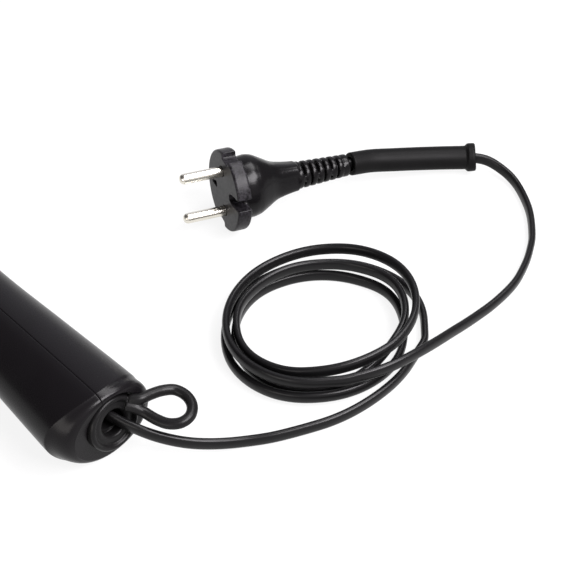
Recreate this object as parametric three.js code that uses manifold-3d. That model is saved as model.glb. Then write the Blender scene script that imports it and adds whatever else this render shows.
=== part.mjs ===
// A straight, pen-grip hot air tool for craft work, with its mains cord, coil and two-pin plug.
// Millimetres, +Z up. The nozzle points to +X, and the cord leaves the rear end face, which lies at x = 0
// until the last lines move the origin under the middle of the tool.
import * as THREE from 'three';
import { mergeVertices } from 'three/addons/utils/BufferGeometryUtils.js';
import Module from 'manifold-3d';

const wasm = await Module();
wasm.setup();

// Clearances
const seat = 0.3;             // between pieces that are seated on each other
const seamHalf = 0.15;        // each shell stops this far short of the seam plane

// Housing, an oval flared tube in two halves, left and right of a vertical seam
const rearHalfWidth = 21.7;
const rearHalfHeight = 17.5;
const gripHalfWidth = 17.6;
const gripHalfHeight = 14.4;
const headHalfSize = 17.5;    // the fan chamber is round
const flareStart = 8;         // the rear stays full this far from its end face
const housingLength = 172;
const gripInset = 80;         // from the grip's thinnest place to the housing's front end
const headLength = 36;        // the fan chamber, measured back from the housing's front end
const endFaceRadius = 15.1;   // flat end face, inside a conical chamfer
const chamferSlope = 0.68;    // radius lost per millimetre of length
const wall = 2.0;
const rearWall = 2.5;
const axisHeight = rearHalfHeight;
const beyond = 40;            // how far cutting blocks reach past the housing's middle

// Rear ring with its hanging loop, one rubber moulding in a round hole of the end face
const ringAcross = -3.3;      // the ring's middle, off the tool's axis
const ringUp = 2.4;
const ringLean = 9.8;         // degrees that its face looks up
const ringRadius = 11.4;
const ringGap = 1.0;          // round the ring, in the end face
const ringProud = 1.6;
const ringRim = 1.5;          // radius of the rolled rim
const recessRadius = 6.9;
const recessDepth = 9;
const ringFlange = 2.2;       // how far the inner flange reaches past the hole
const ringFlangeThick = 2.4;
const ringFloor = 2.0;
const ringSocketWall = 1.6;
const ringLip = 0.9;          // width of the rolled rim's inner slope
const loopRod = 4.4;
const loopPoints = [          // the loop's middle line; its heights are above the tool's axis
  [0.6, -8.6, 2.4], [-1.4, -11.2, 2.0], [-5.2, -13.6, 2.3], [-10.5, -15.0, 2.5], [-15.2, -17.0, 2.5],
  [-18.3, -20.6, 2.3], [-18.4, -25.0, 2.2], [-15.2, -28.8, 2.2], [-10.2, -30.2, 2.5], [-5.4, -28.6, 3.2],
  [-3.2, -24.4, 4.3], [-2.4, -19.4, 5.3], [-2.2, -14.6, 5.7], [-0.6, -10.8, 5.4],
];

// Cord, a flat twin flex that lies on its edge
const cordThick = 3.2;
const cordHigh = 5.4;
const cordClear = 0.35;       // between the cord and the slot or hole that it passes

// Intake slots in both sides of the housing
const slotCount = 6;
const slotWide = 2.2;
const slotPitch = 4.6;
const slotsBehindPlate = 43;  // from the first slot to the motor plate
const slotHigh = 13;

// Slide switch on top of the grip
const switchAhead = 2;        // the switch's middle, ahead of the grip's thinnest place
const switchTravel = 6;
const knobLength = 24;
const knobWide = 9;
const knobPlate = 1.5;
const knobRidge = 2.2;
const stemLength = 9;
const stemWide = 4.6;
const padThick = 2.4;
const padSink = 2.4;          // the knob's recess, below the top of the grip
const switchBodyHigh = 8.5;
const switchBodyWide = 12;
const stemDepth = 2.2;        // the stem's reach into the switch body

// Housing screws, in bosses along the axis height; the third lies under the switch
const rearScrewAt = 27;
const middleScrewAt = 60;
const screwDrop = [0, 0, 7.2];
const screwRadius = 1.45;
const screwShort = 6;         // from a screw's tip to the housing's far side
const screwHeadRadius = 2.7;
const screwHeadThick = 1.8;
const bossRadius = 3.4;
const headInset = 5.2;        // depth of the screw heads below the housing's side

// Motor, fan and the plate that holds them
const plateInset = 27;        // from the motor plate to the housing's front end
const plateThick = 2.0;
const motorClear = 3.5;       // air gap between the motor and the housing
const motorLength = 28;
const motorWall = 1.0;
const motorCapLength = 4.5;
const shaftRadius = 1.0;
const shaftClear = 0.05;
const bearingClear = 0.3;
const magnetThick = 2.3;
const magnetShort = 10;       // a magnet is this much shorter than the motor
const armatureClear = 0.8;
const fanClear = 1.2;         // between the blades' tips and the housing
const fanHub = 5.2;
const fanLength = 8;
const fanBlades = 7;
const fanTwist = 38;          // degrees along the blade
const bladeThick = 1.1;
const fanGap = 1.6;           // to the plate

// Nozzle, heater and nose ring
const heatWallInset = 12;     // from the heat wall to the housing's front end
const heatWallThick = 1.5;
const nozzleClear = 2.5;      // between the nozzle and the bore of the housing
const nozzleWall = 0.7;
const nozzleNeck = 2.4;       // radius lost from the nozzle's tube to its mouth
const nozzleLip = 0.5;
const nozzleLength = 62;
const nozzleCone = 10;
const nozzleStraightMouth = 6;
const nozzleFlangeHigh = 1.8;
const nozzleFlangeThick = 1.0;
const noseLength = 12;
const noseEndStep = 2.3;      // radius lost from the housing to the nose ring's end
const noseClear = 0.4;
const sleeveWall = 0.7;
const sleeveShort = 20;       // the heater's sleeve is this much shorter than the nozzle
const formerClear = 2.4;      // between the mica cross and the sleeve, for the wire
const formerThick = 1.2;
const formerShort = 2;        // the cross is this much shorter than the sleeve
const heaterWire = 0.9;
const heaterTurns = 9;
const heaterStart = 4;        // bare ends of the cross, before and after the wire
const cutoutRadius = 3.6;
const cutoutThick = 2.4;
const grilleBar = 1.0;
const grilleInset = 1.6;

// Rear electrics
const clampFrom = 17;
const clampLength = 6;
const clampThick = 2.4;
const clampWide = 17;
const boardFrom = 32;
const boardLength = 22;
const boardWide = 20;
const boardThick = 1.6;
const boardDrop = 4.5;        // the board's underside, below the tool's axis
const ribThick = 1.5;         // cross ribs that carry the board and the clamp
const ribInset = 3;           // from the board's ends
const diodeRadius = 1.4;
const diodeLength = 5.5;
const capacitorSize = [13, 6, 8];

// Plug, a two-pin contour plug moulded on the cord with a ribbed relief
const plugFace = new THREE.Vector3(69, -119.35, 19.7);
const plugYaw = 69.7;         // degrees from +X, the way that the pins point
const plugPitch = 5;          // degrees, front up: the disc stands on its edge and the tail hangs lower
const plugRoll = 18.3;        // turned about its own axis
const discRadius = 19;
const discThick = 6.8;
const pinRadius = 2.4;
const pinLength = 19;
const pinPitch = 19;
const pinRoot = 3;            // length of a pin inside the plug
const notchAngles = [8, 96, 188, 276];
const notchDepth = 3.4;
const notchWide = 7.4;
const bulbProfile = [         // [distance behind the face, half height]
  [6.4, 14.4], [10, 14.8], [13, 14.5], [16, 13.3], [19, 11.7], [22, 10.2], [25, 9.0], [30, 7.8], [37.6, 6.7],
];
const bulbFlat = 0.86;        // the bulb's thickness over its height
const reliefEnd = 65.3;
const reliefRibs = 8;
const reliefBoreDepth = 6;
const reliefCore = 3.7;
const reliefRoot = 6.5;
const reliefTip = 5.3;
const ribShare = 0.54;
const webThick = 2.6;
const sleeveOuter = 5.2;
const sleeveInner = 3.5;
const collarOuter = 7;
const collarThick = 4;
const sleeveRows = 6;         // points at the end of the plug's route that the sleeve covers

// Coil: the middle of the cord at chosen parts of its turns, from the tool's end to the plug's end.
// Each row is [turns, radius, layer]; layer 0 lies on the table and 1 and 2 lie on the turns below.
const coilMiddle = new THREE.Vector2(-10, -104);
const coilStart = 225.9;      // degrees from +X where the count of turns starts
const coilRows = [            // turns, radius, height above the lowest turn
  [0, 43.4, 0], [0.04, 44.2, 0], [0.0833, 43.9, 0], [0.1667, 40.2, 0], [0.25, 37, 0], [0.3333, 36.5, 0],
  [0.4167, 38.3, 0], [0.5, 40.7, 0], [0.5833, 43, 0.2], [0.6667, 42.7, 1.3], [0.75, 40.1, 2.2],
  [0.8333, 37.5, 1.5], [0.9167, 35.8, 0.1], [1, 34.6, 0.5], [1.0833, 34.3, 0.9], [1.1667, 31.6, 0],
  [1.25, 30.2, 0], [1.3333, 31, 0], [1.4167, 33.7, 0.3], [1.5, 36.4, 0.3], [1.5833, 38.3, 0],
  [1.6667, 38.3, 0], [1.75, 35.8, 0.7], [1.8333, 32.8, 3.1], [1.9167, 32.2, 6.2], [2, 34.8, 7.8],
  [2.0833, 35.7, 7.8], [2.1667, 32.7, 6.8], [2.25, 30.2, 6.7], [2.3333, 30.2, 7], [2.4167, 32.1, 7],
  [2.5, 35.5, 7.4], [2.5833, 37.3, 6.7], [2.6667, 36, 8], [2.75, 33.5, 10.1], [2.8333, 33.3, 11.5],
  [2.9167, 35.8, 12.1], [3, 38.9, 12.5], [3.0833, 40.7, 11.9], [3.1667, 40.5, 9.5], [3.25, 38.8, 7.5],
  [3.3333, 37.5, 6.8], [3.4167, 38.2, 6.8], [3.5, 40.1, 7], [3.5833, 41.7, 8.1], [3.6667, 40.8, 8.6],
  [3.75, 38.2, 8.8],
];
const cordBase = 2.9;         // height of the cord's middle above the table
const coilSteps = 24;         // per turn
const coilEnd = 5.4;          // straight end, one cord height long
const coilLead = 2.5;         // straight lead of the free cord at the coil

// Free cord routes, chosen by hand: the cord's middle at each point
const toolRoute = [
  [8.4, -2.6, 19.6], [6.6, -2.8, 19.6], [3.2, -4.2, 18.9], [-0.8, -5.8, 17.8], [-6.1, -8.2, 16.8], [-11, -11.4, 14.8],
  [-16, -16.4, 11.5], [-20.6, -22.1, 8.3], [-24.8, -28.4, 5.6], [-28.9, -34.8, 3.8], [-33, -41.4, 3],
  [-37.3, -48, 2.9], [-41.1, -55.2, 2.9], [-44.6, -62.6, 2.9], [-47.9, -70.4, 2.9], [-50.4, -79.1, 2.9],
  [-51.8, -88, 2.9], [-52.3, -96.2, 2.9], [-52, -104.6, 2.9], [-50.7, -112.4, 2.9], [-48.7, -119.3, 2.9],
];
const plugRoute = [
  [-45, -88.8, 12], [-47.6, -94.1, 12.2], [-49.8, -99.9, 12.2], [-51.4, -106.5, 12], [-52.2, -112.8, 11.4],
  [-52.7, -119.7, 10.4], [-52.8, -128.5, 8.6], [-52.6, -137.9, 6.6], [-52.6, -147.3, 4.8], [-52.5, -156.4, 3.4],
  [-52.6, -165.1, 2.9], [-51.9, -177.6, 2.9], [-50.6, -185, 2.9], [-48.4, -191.7, 2.9], [-45.9, -198.2, 2.9],
  [-42.8, -204.3, 2.9], [-39.4, -210.3, 2.9], [-35.3, -215.6, 2.9], [-30.8, -220.8, 2.9], [-25.8, -225.7, 2.9],
  [-20.2, -230, 2.9], [-14.1, -234, 2.9], [-9.2, -236.3, 3.4], [-4.1, -237.4, 4.3], [2.5, -237.3, 5.4],
  [7.8, -235.7, 6.5], [12.6, -232.2, 7.2], [15.5, -229.5, 7.5], [23.7, -219.7, 8.3], [32.1, -207.9, 9.5],
  [37.8, -199.1, 10.6], [43.2, -190.1, 11.9],
];
const routeStep = 10.8;       // two cord heights

// Places and sizes that follow from those above
const headStart = housingLength - headLength;
const gripMiddle = housingLength - gripInset;
const switchMiddle = gripMiddle + switchAhead;
const screwPlaces = [rearScrewAt, middleScrewAt, gripMiddle];
const plateAt = housingLength - plateInset;
const slotStart = plateAt - slotsBehindPlate;
const heatWallAt = housingLength - heatWallInset;
const headBore = headHalfSize - wall;
const motorRadius = headBore - motorClear;
const magnetInner = motorRadius - motorWall - seat - magnetThick;
const armatureRadius = magnetInner - armatureClear;
const fanRadius = headBore - fanClear;
const nozzleRadius = headBore - nozzleClear;
const nozzleMouth = nozzleRadius - nozzleNeck;
const nozzleFlange = nozzleRadius + nozzleFlangeHigh;
const noseEndRadius = headHalfSize - noseEndStep;
const sleeveLength = nozzleLength - sleeveShort;
const formerLength = sleeveLength - formerShort;
const heaterPitch = (formerLength - 2 * heaterStart) / heaterTurns;

// Materials
const material = (color, roughness, metalness) => new THREE.MeshStandardMaterial({ color, roughness, metalness });
const housingPlastic = material(0x232226, 0.42, 0.0);
const rubber = material(0x2b2a2c, 0.6, 0.0);
const cordPlastic = material(0x2e2d30, 0.5, 0.0);
const plugPlastic = material(0x39383b, 0.62, 0.0);
const brightMetal = material(0xd9d6cc, 0.2, 1.0);
const steel = material(0xb9b8b4, 0.3, 1.0);
const screwSteel = material(0x8d8c88, 0.35, 1.0);
const mica = material(0xb8ab8c, 0.7, 0.0);
const heaterAlloy = material(0x7d7468, 0.4, 1.0);
const boardGreen = material(0x2f5a3a, 0.6, 0.0);
const greyPlastic = material(0x55565a, 0.5, 0.0);
const innerWhite = material(0xd8d5cc, 0.6, 0.0);

const tool = new THREE.Group();
const cordParts = [];

// Solids and meshes

function turnedOutwards(geometry) {
  // Reverses a closed mesh whose signed volume is negative.
  const at = geometry.attributes.position;
  const index = geometry.index.array;
  const [a, b, c] = [new THREE.Vector3(), new THREE.Vector3(), new THREE.Vector3()];
  let volume = 0;
  for (let i = 0; i < index.length; i += 3) {
    a.fromBufferAttribute(at, index[i]);
    b.fromBufferAttribute(at, index[i + 1]);
    c.fromBufferAttribute(at, index[i + 2]);
    volume += a.dot(b.cross(c));
  }
  if (volume < 0) {
    for (let i = 0; i < index.length; i += 3) {
      [index[i], index[i + 1]] = [index[i + 1], index[i]];
    }
  }
  return geometry;
}

function welded(geometry) {
  // Merges shared corners, and drops the triangles that this leaves without an area.
  let flat = geometry.clone();
  Object.keys(flat.attributes).filter((name) => name !== 'position').forEach((name) => flat.deleteAttribute(name));
  if (!flat.index) {
    flat.setIndex([...Array(flat.attributes.position.count).keys()]);
  }
  flat = mergeVertices(flat, 1e-4);
  const from = flat.index.array;
  const kept = [];
  for (let i = 0; i < from.length; i += 3) {
    const [p, q, r] = [from[i], from[i + 1], from[i + 2]];
    if (p !== q && q !== r && r !== p) {
      kept.push(p, q, r);
    }
  }
  flat.setIndex(kept);
  return turnedOutwards(flat);
}

function solid(geometry) {
  const flat = welded(geometry);
  return new wasm.Manifold(new wasm.Mesh({
    numProp: 3,
    vertProperties: new Float32Array(flat.attributes.position.array),
    triVerts: new Uint32Array(flat.index.array),
  }));
}

function shapeOf(body) {
  const mesh = body.getMesh();
  const geometry = new THREE.BufferGeometry();
  geometry.setAttribute('position', new THREE.BufferAttribute(mesh.vertProperties, 3));
  geometry.setIndex(new THREE.BufferAttribute(mesh.triVerts, 1));
  return geometry;
}

function piece(name, geometry, finish, parent = tool) {
  const mesh = new THREE.Mesh(geometry, finish);
  mesh.name = name;
  parent.add(mesh);
  return mesh;
}

function turned(profile, segments = 40) {
  // Revolves [x, radius] points about the X axis.
  const points = profile.map(([x, r]) => new THREE.Vector2(r, x));
  return new THREE.LatheGeometry(points, segments).rotateZ(-Math.PI / 2);
}

function rod(from, to, radius, segments = 24) {
  return turned([[from, 0], [from, radius], [to, radius], [to, 0]], segments);
}

function pipe(from, to, outer, inner, segments = 40) {
  return turned([[from, inner], [from, outer], [to, outer], [to, inner], [from, inner]], segments);
}

function block(x0, x1, y0, y1, z0, z1) {
  return new THREE.BoxGeometry(x1 - x0, y1 - y0, z1 - z0)
    .translate((x0 + x1) / 2, (y0 + y1) / 2, (z0 + z1) / 2);
}

function ringsToGeometry(rings) {
  // Skins a row of rings that have as many points each, and closes both ends on their middles.
  const count = rings[0].length;
  const positions = rings.flat();
  const index = [];
  for (let i = 0; i + 1 < rings.length; i += 1) {
    for (let j = 0; j < count; j += 1) {
      const a = i * count + j;
      const b = i * count + ((j + 1) % count);
      index.push(a, b, b + count, a, b + count, a + count);
    }
  }
  for (const i of [0, rings.length - 1]) {
    const middle = rings[i].reduce((sum, p) => sum.add(p), new THREE.Vector3()).divideScalar(count);
    positions.push(middle);
    for (let j = 0; j < count; j += 1) {
      const a = i * count + j;
      const b = i * count + ((j + 1) % count);
      index.push(...(i === 0 ? [b, a, positions.length - 1] : [a, b, positions.length - 1]));
    }
  }
  const geometry = new THREE.BufferGeometry();
  geometry.setAttribute('position', new THREE.Float32BufferAttribute(positions.flatMap((p) => [p.x, p.y, p.z]), 3));
  geometry.setIndex(index);
  return turnedOutwards(geometry);
}

function oval(x, halfWidth, halfHeight, points) {
  return Array.from({ length: points }, (_, i) => {
    const angle = (2 * Math.PI * i) / points;
    return new THREE.Vector3(x, halfWidth * Math.cos(angle), halfHeight * Math.sin(angle));
  });
}

// Housing

const housingCurve = new THREE.CatmullRomCurve3([
  [0, rearHalfWidth, rearHalfHeight],
  [flareStart, rearHalfWidth, rearHalfHeight],
  [(flareStart + gripMiddle) / 2, (rearHalfWidth + gripHalfWidth) / 2, (rearHalfHeight + gripHalfHeight) / 2 - 0.1],
  [gripMiddle, gripHalfWidth, gripHalfHeight],
  [headStart, headHalfSize, headHalfSize],
  [(headStart + housingLength) / 2, headHalfSize, headHalfSize],
  [housingLength, headHalfSize, headHalfSize],
].map((p) => new THREE.Vector3(...p)), false, 'centripetal');
const housingStations = housingCurve.getSpacedPoints(13);

function halfSizesAt(x) {
  const ahead = housingStations.findIndex((p) => p.x >= x);
  const next = ahead < 1 ? housingStations.length - 1 : ahead;
  const [p, q] = x <= 0 ? housingStations : [housingStations[next - 1], housingStations[next]];
  const t = (x - p.x) / (q.x - p.x);
  return { width: p.y + (q.y - p.y) * t, height: p.z + (q.z - p.z) * t };
}

function housingForm(inset, from, to, points = 28) {
  // The oval tube, drawn in by an inset, between two places along its length.
  const places = [from, ...housingStations.map((p) => p.x).filter((x) => x > from + 0.5 && x < to - 0.5), to];
  return ringsToGeometry(places.map((x) => {
    const { width, height } = halfSizesAt(x);
    return oval(x, width - inset, height - inset, points);
  }));
}

function chamferCone(inset, from) {
  // The space inside the rear chamfer: a cone from the end face outwards, and a wide rod past it.
  const wide = 1.2 * rearHalfWidth;
  const start = endFaceRadius - inset;
  const length = (wide - start) / chamferSlope;
  const end = housingLength + beyond;
  return turned([[from, 0], [from, start], [from + length, wide], [end, wide], [end, 0]], 28);
}

const innerCordUp = toolRoute[0][2] - axisHeight;
const clampUnder = innerCordUp - cordHigh / 2 - seat;
const clampOver = innerCordUp + cordHigh / 2 + seat;
const boltAcross = (x) => halfSizesAt(x).width;
const gripTop = halfSizesAt(switchMiddle).height;
const padTop = gripTop - padSink;
const padBottom = padTop - padThick;
const padHalfLength = (knobLength + switchTravel) / 2 + 2.5;
const recessHalfLength = (knobLength + switchTravel) / 2 + seat;
const slotHalfLength = (stemLength + switchTravel) / 2 + seat;
const knobRestMiddle = switchMiddle - switchTravel / 2;

function housingSolid() {
  let body = solid(housingForm(0, 0, housingLength)).intersect(solid(chamferCone(0, 0)));
  const cavity = solid(housingForm(wall, rearWall, housingLength + 1e-3))
    .intersect(solid(chamferCone(wall * 0.6, rearWall)));
  // What stays inside the cavity: the switch pad, the screw bosses, the heat wall and the ring's seat.
  const pad = solid(block(
    switchMiddle - padHalfLength, switchMiddle + padHalfLength,
    -knobWide / 2 - 2.2, knobWide / 2 + 2.2, padBottom, gripTop,
  ));
  let inside = pad;
  screwPlaces.forEach((x, i) => {
    const boss = new THREE.CylinderGeometry(bossRadius, bossRadius, 2 * boltAcross(x), 14);
    inside = inside.add(solid(boss.translate(x, 0, -screwDrop[i])));
  });
  const boardRibs = [boardFrom + ribInset, boardFrom + boardLength - ribInset - ribThick];
  for (const x of boardRibs) {
    inside = inside.add(solid(block(
      x, x + ribThick, -rearHalfWidth, rearHalfWidth, -rearHalfHeight, -boardDrop - seat,
    )));
  }
  inside = inside.add(solid(block(
    clampFrom + 1, clampFrom + clampLength - 1, ringAcross - clampWide / 2, ringAcross + clampWide / 2,
    -rearHalfHeight, clampUnder - clampThick - seat,
  )));
  const heatWall = pipe(heatWallAt, heatWallAt + heatWallThick, headHalfSize, nozzleRadius - nozzleWall, 28);
  inside = inside.add(solid(heatWall));
  body = body.subtract(cavity.subtract(inside));
  // Holes and cuts
  const hole = solid(rod(-1, rearWall + 0.6, ringRadius + ringGap, 28).translate(0, ringAcross, ringUp));
  body = body.subtract(hole);
  body = body.subtract(solid(block(
    switchMiddle - recessHalfLength, switchMiddle + recessHalfLength,
    -knobWide / 2 - seat, knobWide / 2 + seat, padTop, gripTop + 5,
  )));
  body = body.subtract(solid(block(
    switchMiddle - slotHalfLength, switchMiddle + slotHalfLength,
    -stemWide / 2 - seat, stemWide / 2 + seat, padBottom - 1, padTop + 1,
  )));
  for (let i = 0; i < slotCount; i += 1) {
    const x = slotStart + i * slotPitch;
    body = body.subtract(solid(block(x, x + slotWide, -beyond, beyond, -slotHigh / 2, slotHigh / 2)));
  }
  // The groove that the nose ring's bead snaps into
  body = body.subtract(solid(pipe(
    beadAt - seat, beadAt + beadLength + seat, headHalfSize - wall + beadReach + seat, headHalfSize - wall - 1, 28,
  )));
  return body;
}

// The nose ring's bead, also needed for its groove
const beadLength = 1.4;
const beadReach = 0.6;
const beadAt = housingLength - 3.4;

function screwHoles(side) {
  // Through holes with counterbores on the far side, and pilot holes in the near shell.
  let holes = null;
  screwPlaces.forEach((x, i) => {
    const across = boltAcross(x);
    const boreLength = 2 * across - screwShort - wall;
    const bore = new THREE.CylinderGeometry(screwRadius + seat, screwRadius + seat, boreLength, 12)
      .translate(x, side > 0 ? 0 : -wall, -screwDrop[i]);
    let cut = solid(bore);
    if (side < 0) {
      const mouth = new THREE.CylinderGeometry(screwHeadRadius + seat, screwHeadRadius + seat, headInset + 2, 16)
        .translate(x, -across + headInset / 2 - 1, -screwDrop[i]);
      cut = cut.add(solid(mouth));
    }
    holes = holes ? holes.add(cut) : cut;
  });
  return holes;
}

const housing = housingSolid();
for (const [name, side] of [['shell_left', 1], ['shell_right', -1]]) {
  const half = solid(block(
    -beyond, housingLength + beyond, side > 0 ? seamHalf : -beyond, side > 0 ? beyond : -seamHalf,
    -beyond, beyond,
  ));
  const shell = housing.intersect(half).subtract(screwHoles(side));
  piece(name, shapeOf(shell), housingPlastic);
}

screwPlaces.forEach((x, i) => {
  const across = boltAcross(x);
  const headFace = -across + headInset;
  const shankEnd = across - screwShort;
  const profile = [
    [headFace - screwHeadThick, 0], [headFace - screwHeadThick, screwHeadRadius * 0.8],
    [headFace - screwHeadThick + 0.6, screwHeadRadius], [headFace, screwHeadRadius],
    [headFace, screwRadius], [shankEnd - 1.5, screwRadius], [shankEnd, 0.3], [shankEnd, 0],
  ];
  const screw = turned(profile, 14).rotateZ(Math.PI / 2).translate(x, -seat, -screwDrop[i]);
  piece(`housing_screw_${i + 1}`, screw, screwSteel);
});

// Rear ring and hanging loop

const flangeRadius = ringRadius + ringGap + ringFlange;
const flangeFrom = rearWall + seat;
const ringInner = recessDepth + ringFloor;

function ringSolid() {
  // The leaning head with its rolled rim, and behind it a flange and a socket that stay square to the tool.
  const rimArc = Array.from({ length: 6 }, (_, i) => {
    const angle = (Math.PI * i) / 5;
    return [-ringProud + ringRim * (1 - Math.sin(angle)), ringRadius - ringRim + ringRim * Math.cos(angle)];
  });
  const headEnd = flangeFrom + ringFlangeThick / 10;
  const forward = solid(block(headEnd, headEnd + beyond, -beyond, beyond, -beyond, beyond));
  const deep = headEnd + recessRadius / 2;
  const head = solid(turned([
    [deep, recessRadius], [deep, ringRadius], ...rimArc, [-ringProud + ringRim * 0.8, recessRadius + ringLip],
    [ringRim * 0.4, recessRadius], [deep, recessRadius],
  ], 26).rotateY(THREE.MathUtils.degToRad(ringLean))).subtract(forward);
  const socket = solid(turned([
    [ringInner, 0], [ringInner, recessRadius + ringSocketWall],
    [flangeFrom + ringFlangeThick, recessRadius + ringSocketWall],
    [flangeFrom + ringFlangeThick, flangeRadius], [flangeFrom, flangeRadius], [flangeFrom, recessRadius],
    [recessDepth, recessRadius], [recessDepth, 0],
  ], 28));
  const roomInside = solid(housingForm(wall + seat, rearWall + seat / 2, beyond))
    .intersect(solid(chamferCone(wall * 0.6 + seat, rearWall)));
  const ring = socket.translate([0, ringAcross, ringUp]).intersect(roomInside)
    .add(head.translate([0, ringAcross, ringUp]));
  const loopPath = new THREE.CatmullRomCurve3(loopPoints.map((p) => new THREE.Vector3(...p)), false, 'centripetal');
  const section = new THREE.Shape().absarc(0, 0, loopRod / 2, 0, 2 * Math.PI);
  const loop = new THREE.ExtrudeGeometry(section, { steps: 24, curveSegments: 4, extrudePath: loopPath });
  const cordHole = solid(cordSlot(recessDepth - 1, ringInner + 1));
  const recess = rod(-beyond, recessDepth - 0.5, recessRadius, 40).translate(0, ringAcross, ringUp);
  return ring.add(solid(loop).subtract(solid(recess))).subtract(cordHole);
}

function cordOval(clear, points = 12) {
  return Array.from({ length: points }, (_, i) => {
    const angle = (2 * Math.PI * i) / points;
    return [(cordThick / 2 + clear) * Math.cos(angle), (cordHigh / 2 + clear) * Math.sin(angle)];
  });
}

function cordSlot(from, to) {
  // The oval hole that the cord runs through, along X.
  const at = toolRoute[0];
  const ring = (x) => cordOval(cordClear).map(([y, z]) => new THREE.Vector3(x, at[1] + y, at[2] - axisHeight + z));
  return ringsToGeometry([ring(from), ring(to)]);
}

piece('hanging_ring', shapeOf(ringSolid()), rubber);

// Cord inside the tool, its clamp and the rear electrics

const innerCordFrom = toolRoute[0][0] + seat;
const innerCordTo = clampFrom + clampLength;
const innerCordRing = (x) => cordOval(0, 10)
  .map(([y, z]) => new THREE.Vector3(x, toolRoute[0][1] + y, innerCordUp + z));
piece('cord_inner_end', ringsToGeometry([innerCordRing(innerCordFrom), innerCordRing(innerCordTo)]), cordPlastic);

const clampBlock = (low) => solid(block(
  clampFrom, clampFrom + clampLength, toolRoute[0][1] - clampWide / 2, toolRoute[0][1] + clampWide / 2,
  low, low + clampThick,
));
let clampHoles = null;
for (const side of [-1, 1]) {
  const x = clampFrom + clampLength / 2;
  const y = toolRoute[0][1] + side * (clampWide / 2 - screwHeadRadius);
  const hole = solid(rod(-20, 20, screwRadius + seat, 14).rotateY(-Math.PI / 2).translate(x, y, 0));
  clampHoles = clampHoles ? clampHoles.add(hole) : hole;
  const head = clampOver + clampThick + seat;
  const profile = [
    [clampUnder - clampThick + seat, 0], [clampUnder - clampThick + seat, screwRadius], [head, screwRadius],
    [head, screwHeadRadius], [head + screwHeadThick, screwHeadRadius * 0.8], [head + screwHeadThick, 0],
  ];
  piece(`clamp_screw_${side < 0 ? 1 : 2}`, turned(profile, 14).rotateY(-Math.PI / 2).translate(x, y, 0), screwSteel);
}
piece('cord_clamp_base', shapeOf(clampBlock(clampUnder - clampThick).subtract(clampHoles)), housingPlastic);
piece('cord_clamp_bar', shapeOf(clampBlock(clampOver).subtract(clampHoles)), housingPlastic);

const boardUp = -boardDrop;
piece('circuit_board', block(
  boardFrom, boardFrom + boardLength, -boardWide / 2, boardWide / 2, boardUp, boardUp + boardThick,
), boardGreen);
for (let i = 0; i < 4; i += 1) {
  const x = boardFrom + 4 + i * 4.4;
  const diode = rod(-diodeLength / 2, diodeLength / 2, diodeRadius, 12).rotateZ(Math.PI / 2)
    .translate(x, -boardWide / 4 + 0.5, boardUp + boardThick + seat + diodeRadius);
  piece(`rectifier_diode_${i + 1}`, diode, greyPlastic);
}
piece('suppressor_capacitor', block(
  boardFrom + 4, boardFrom + 4 + capacitorSize[0], 2, 2 + capacitorSize[1],
  boardUp + boardThick + seat, boardUp + boardThick + seat + capacitorSize[2],
), innerWhite);

// Slide switch

const switchTop = padBottom - seat;
const switchBody = solid(block(
  switchMiddle - slotHalfLength - 2.5, switchMiddle + slotHalfLength + 2.5,
  -switchBodyWide / 2, switchBodyWide / 2, switchTop - switchBodyHigh, switchTop,
)).subtract(solid(block(
  switchMiddle - slotHalfLength, switchMiddle + slotHalfLength,
  -stemWide / 2 - seat, stemWide / 2 + seat, switchTop - stemDepth - seat, switchTop + 1,
)));
piece('switch_body', shapeOf(switchBody), greyPlastic);

function switchKnob() {
  const low = padTop + seat;
  let knob = solid(block(
    knobRestMiddle - knobLength / 2, knobRestMiddle + knobLength / 2,
    -knobWide / 2, knobWide / 2, low, low + knobPlate,
  ));
  const stem = block(
    knobRestMiddle - stemLength / 2, knobRestMiddle + stemLength / 2,
    -stemWide / 2, stemWide / 2, switchTop - stemDepth, low + 0.5,
  );
  knob = knob.add(solid(stem));
  for (let i = -2; i <= 2; i += 1) {
    const high = knobRidge + 0.5 - 0.28 * Math.abs(i);
    const ridge = new THREE.CylinderGeometry(0.9, 1.35, high, 4, 1).rotateY(Math.PI / 4).rotateX(Math.PI / 2)
      .scale(1, 3.1, 1).translate(knobRestMiddle + i * 2.6, 0, low + knobPlate + high / 2 - 0.2);
    knob = knob.add(solid(ridge));
  }
  return knob;
}
piece('switch_knob', shapeOf(switchKnob()), greyPlastic);

// Motor, its plate and the fan

function motorPlate() {
  const radius = headHalfSize - wall - seat;
  let plate = solid(rod(plateAt, plateAt + plateThick, radius, 28));
  plate = plate.subtract(solid(rod(plateAt - 1, plateAt + plateThick + 1, shaftRadius + 1.2, 16)));
  for (let i = 0; i < 6; i += 1) {
    const vent = new THREE.Shape();
    const from = (i * Math.PI) / 3 + 0.14;
    vent.absarc(0, 0, radius - 1.4, from, from + 0.76, false);
    vent.absarc(0, 0, motorRadius - 2.6, from + 0.76, from, true);
    const cut = new THREE.ExtrudeGeometry(vent, { depth: plateThick + 2, bevelEnabled: false, curveSegments: 3 })
      .rotateY(Math.PI / 2).translate(plateAt - 1, 0, 0);
    plate = plate.subtract(solid(cut));
  }
  return plate;
}
piece('motor_plate', shapeOf(motorPlate()), greyPlastic);

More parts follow.
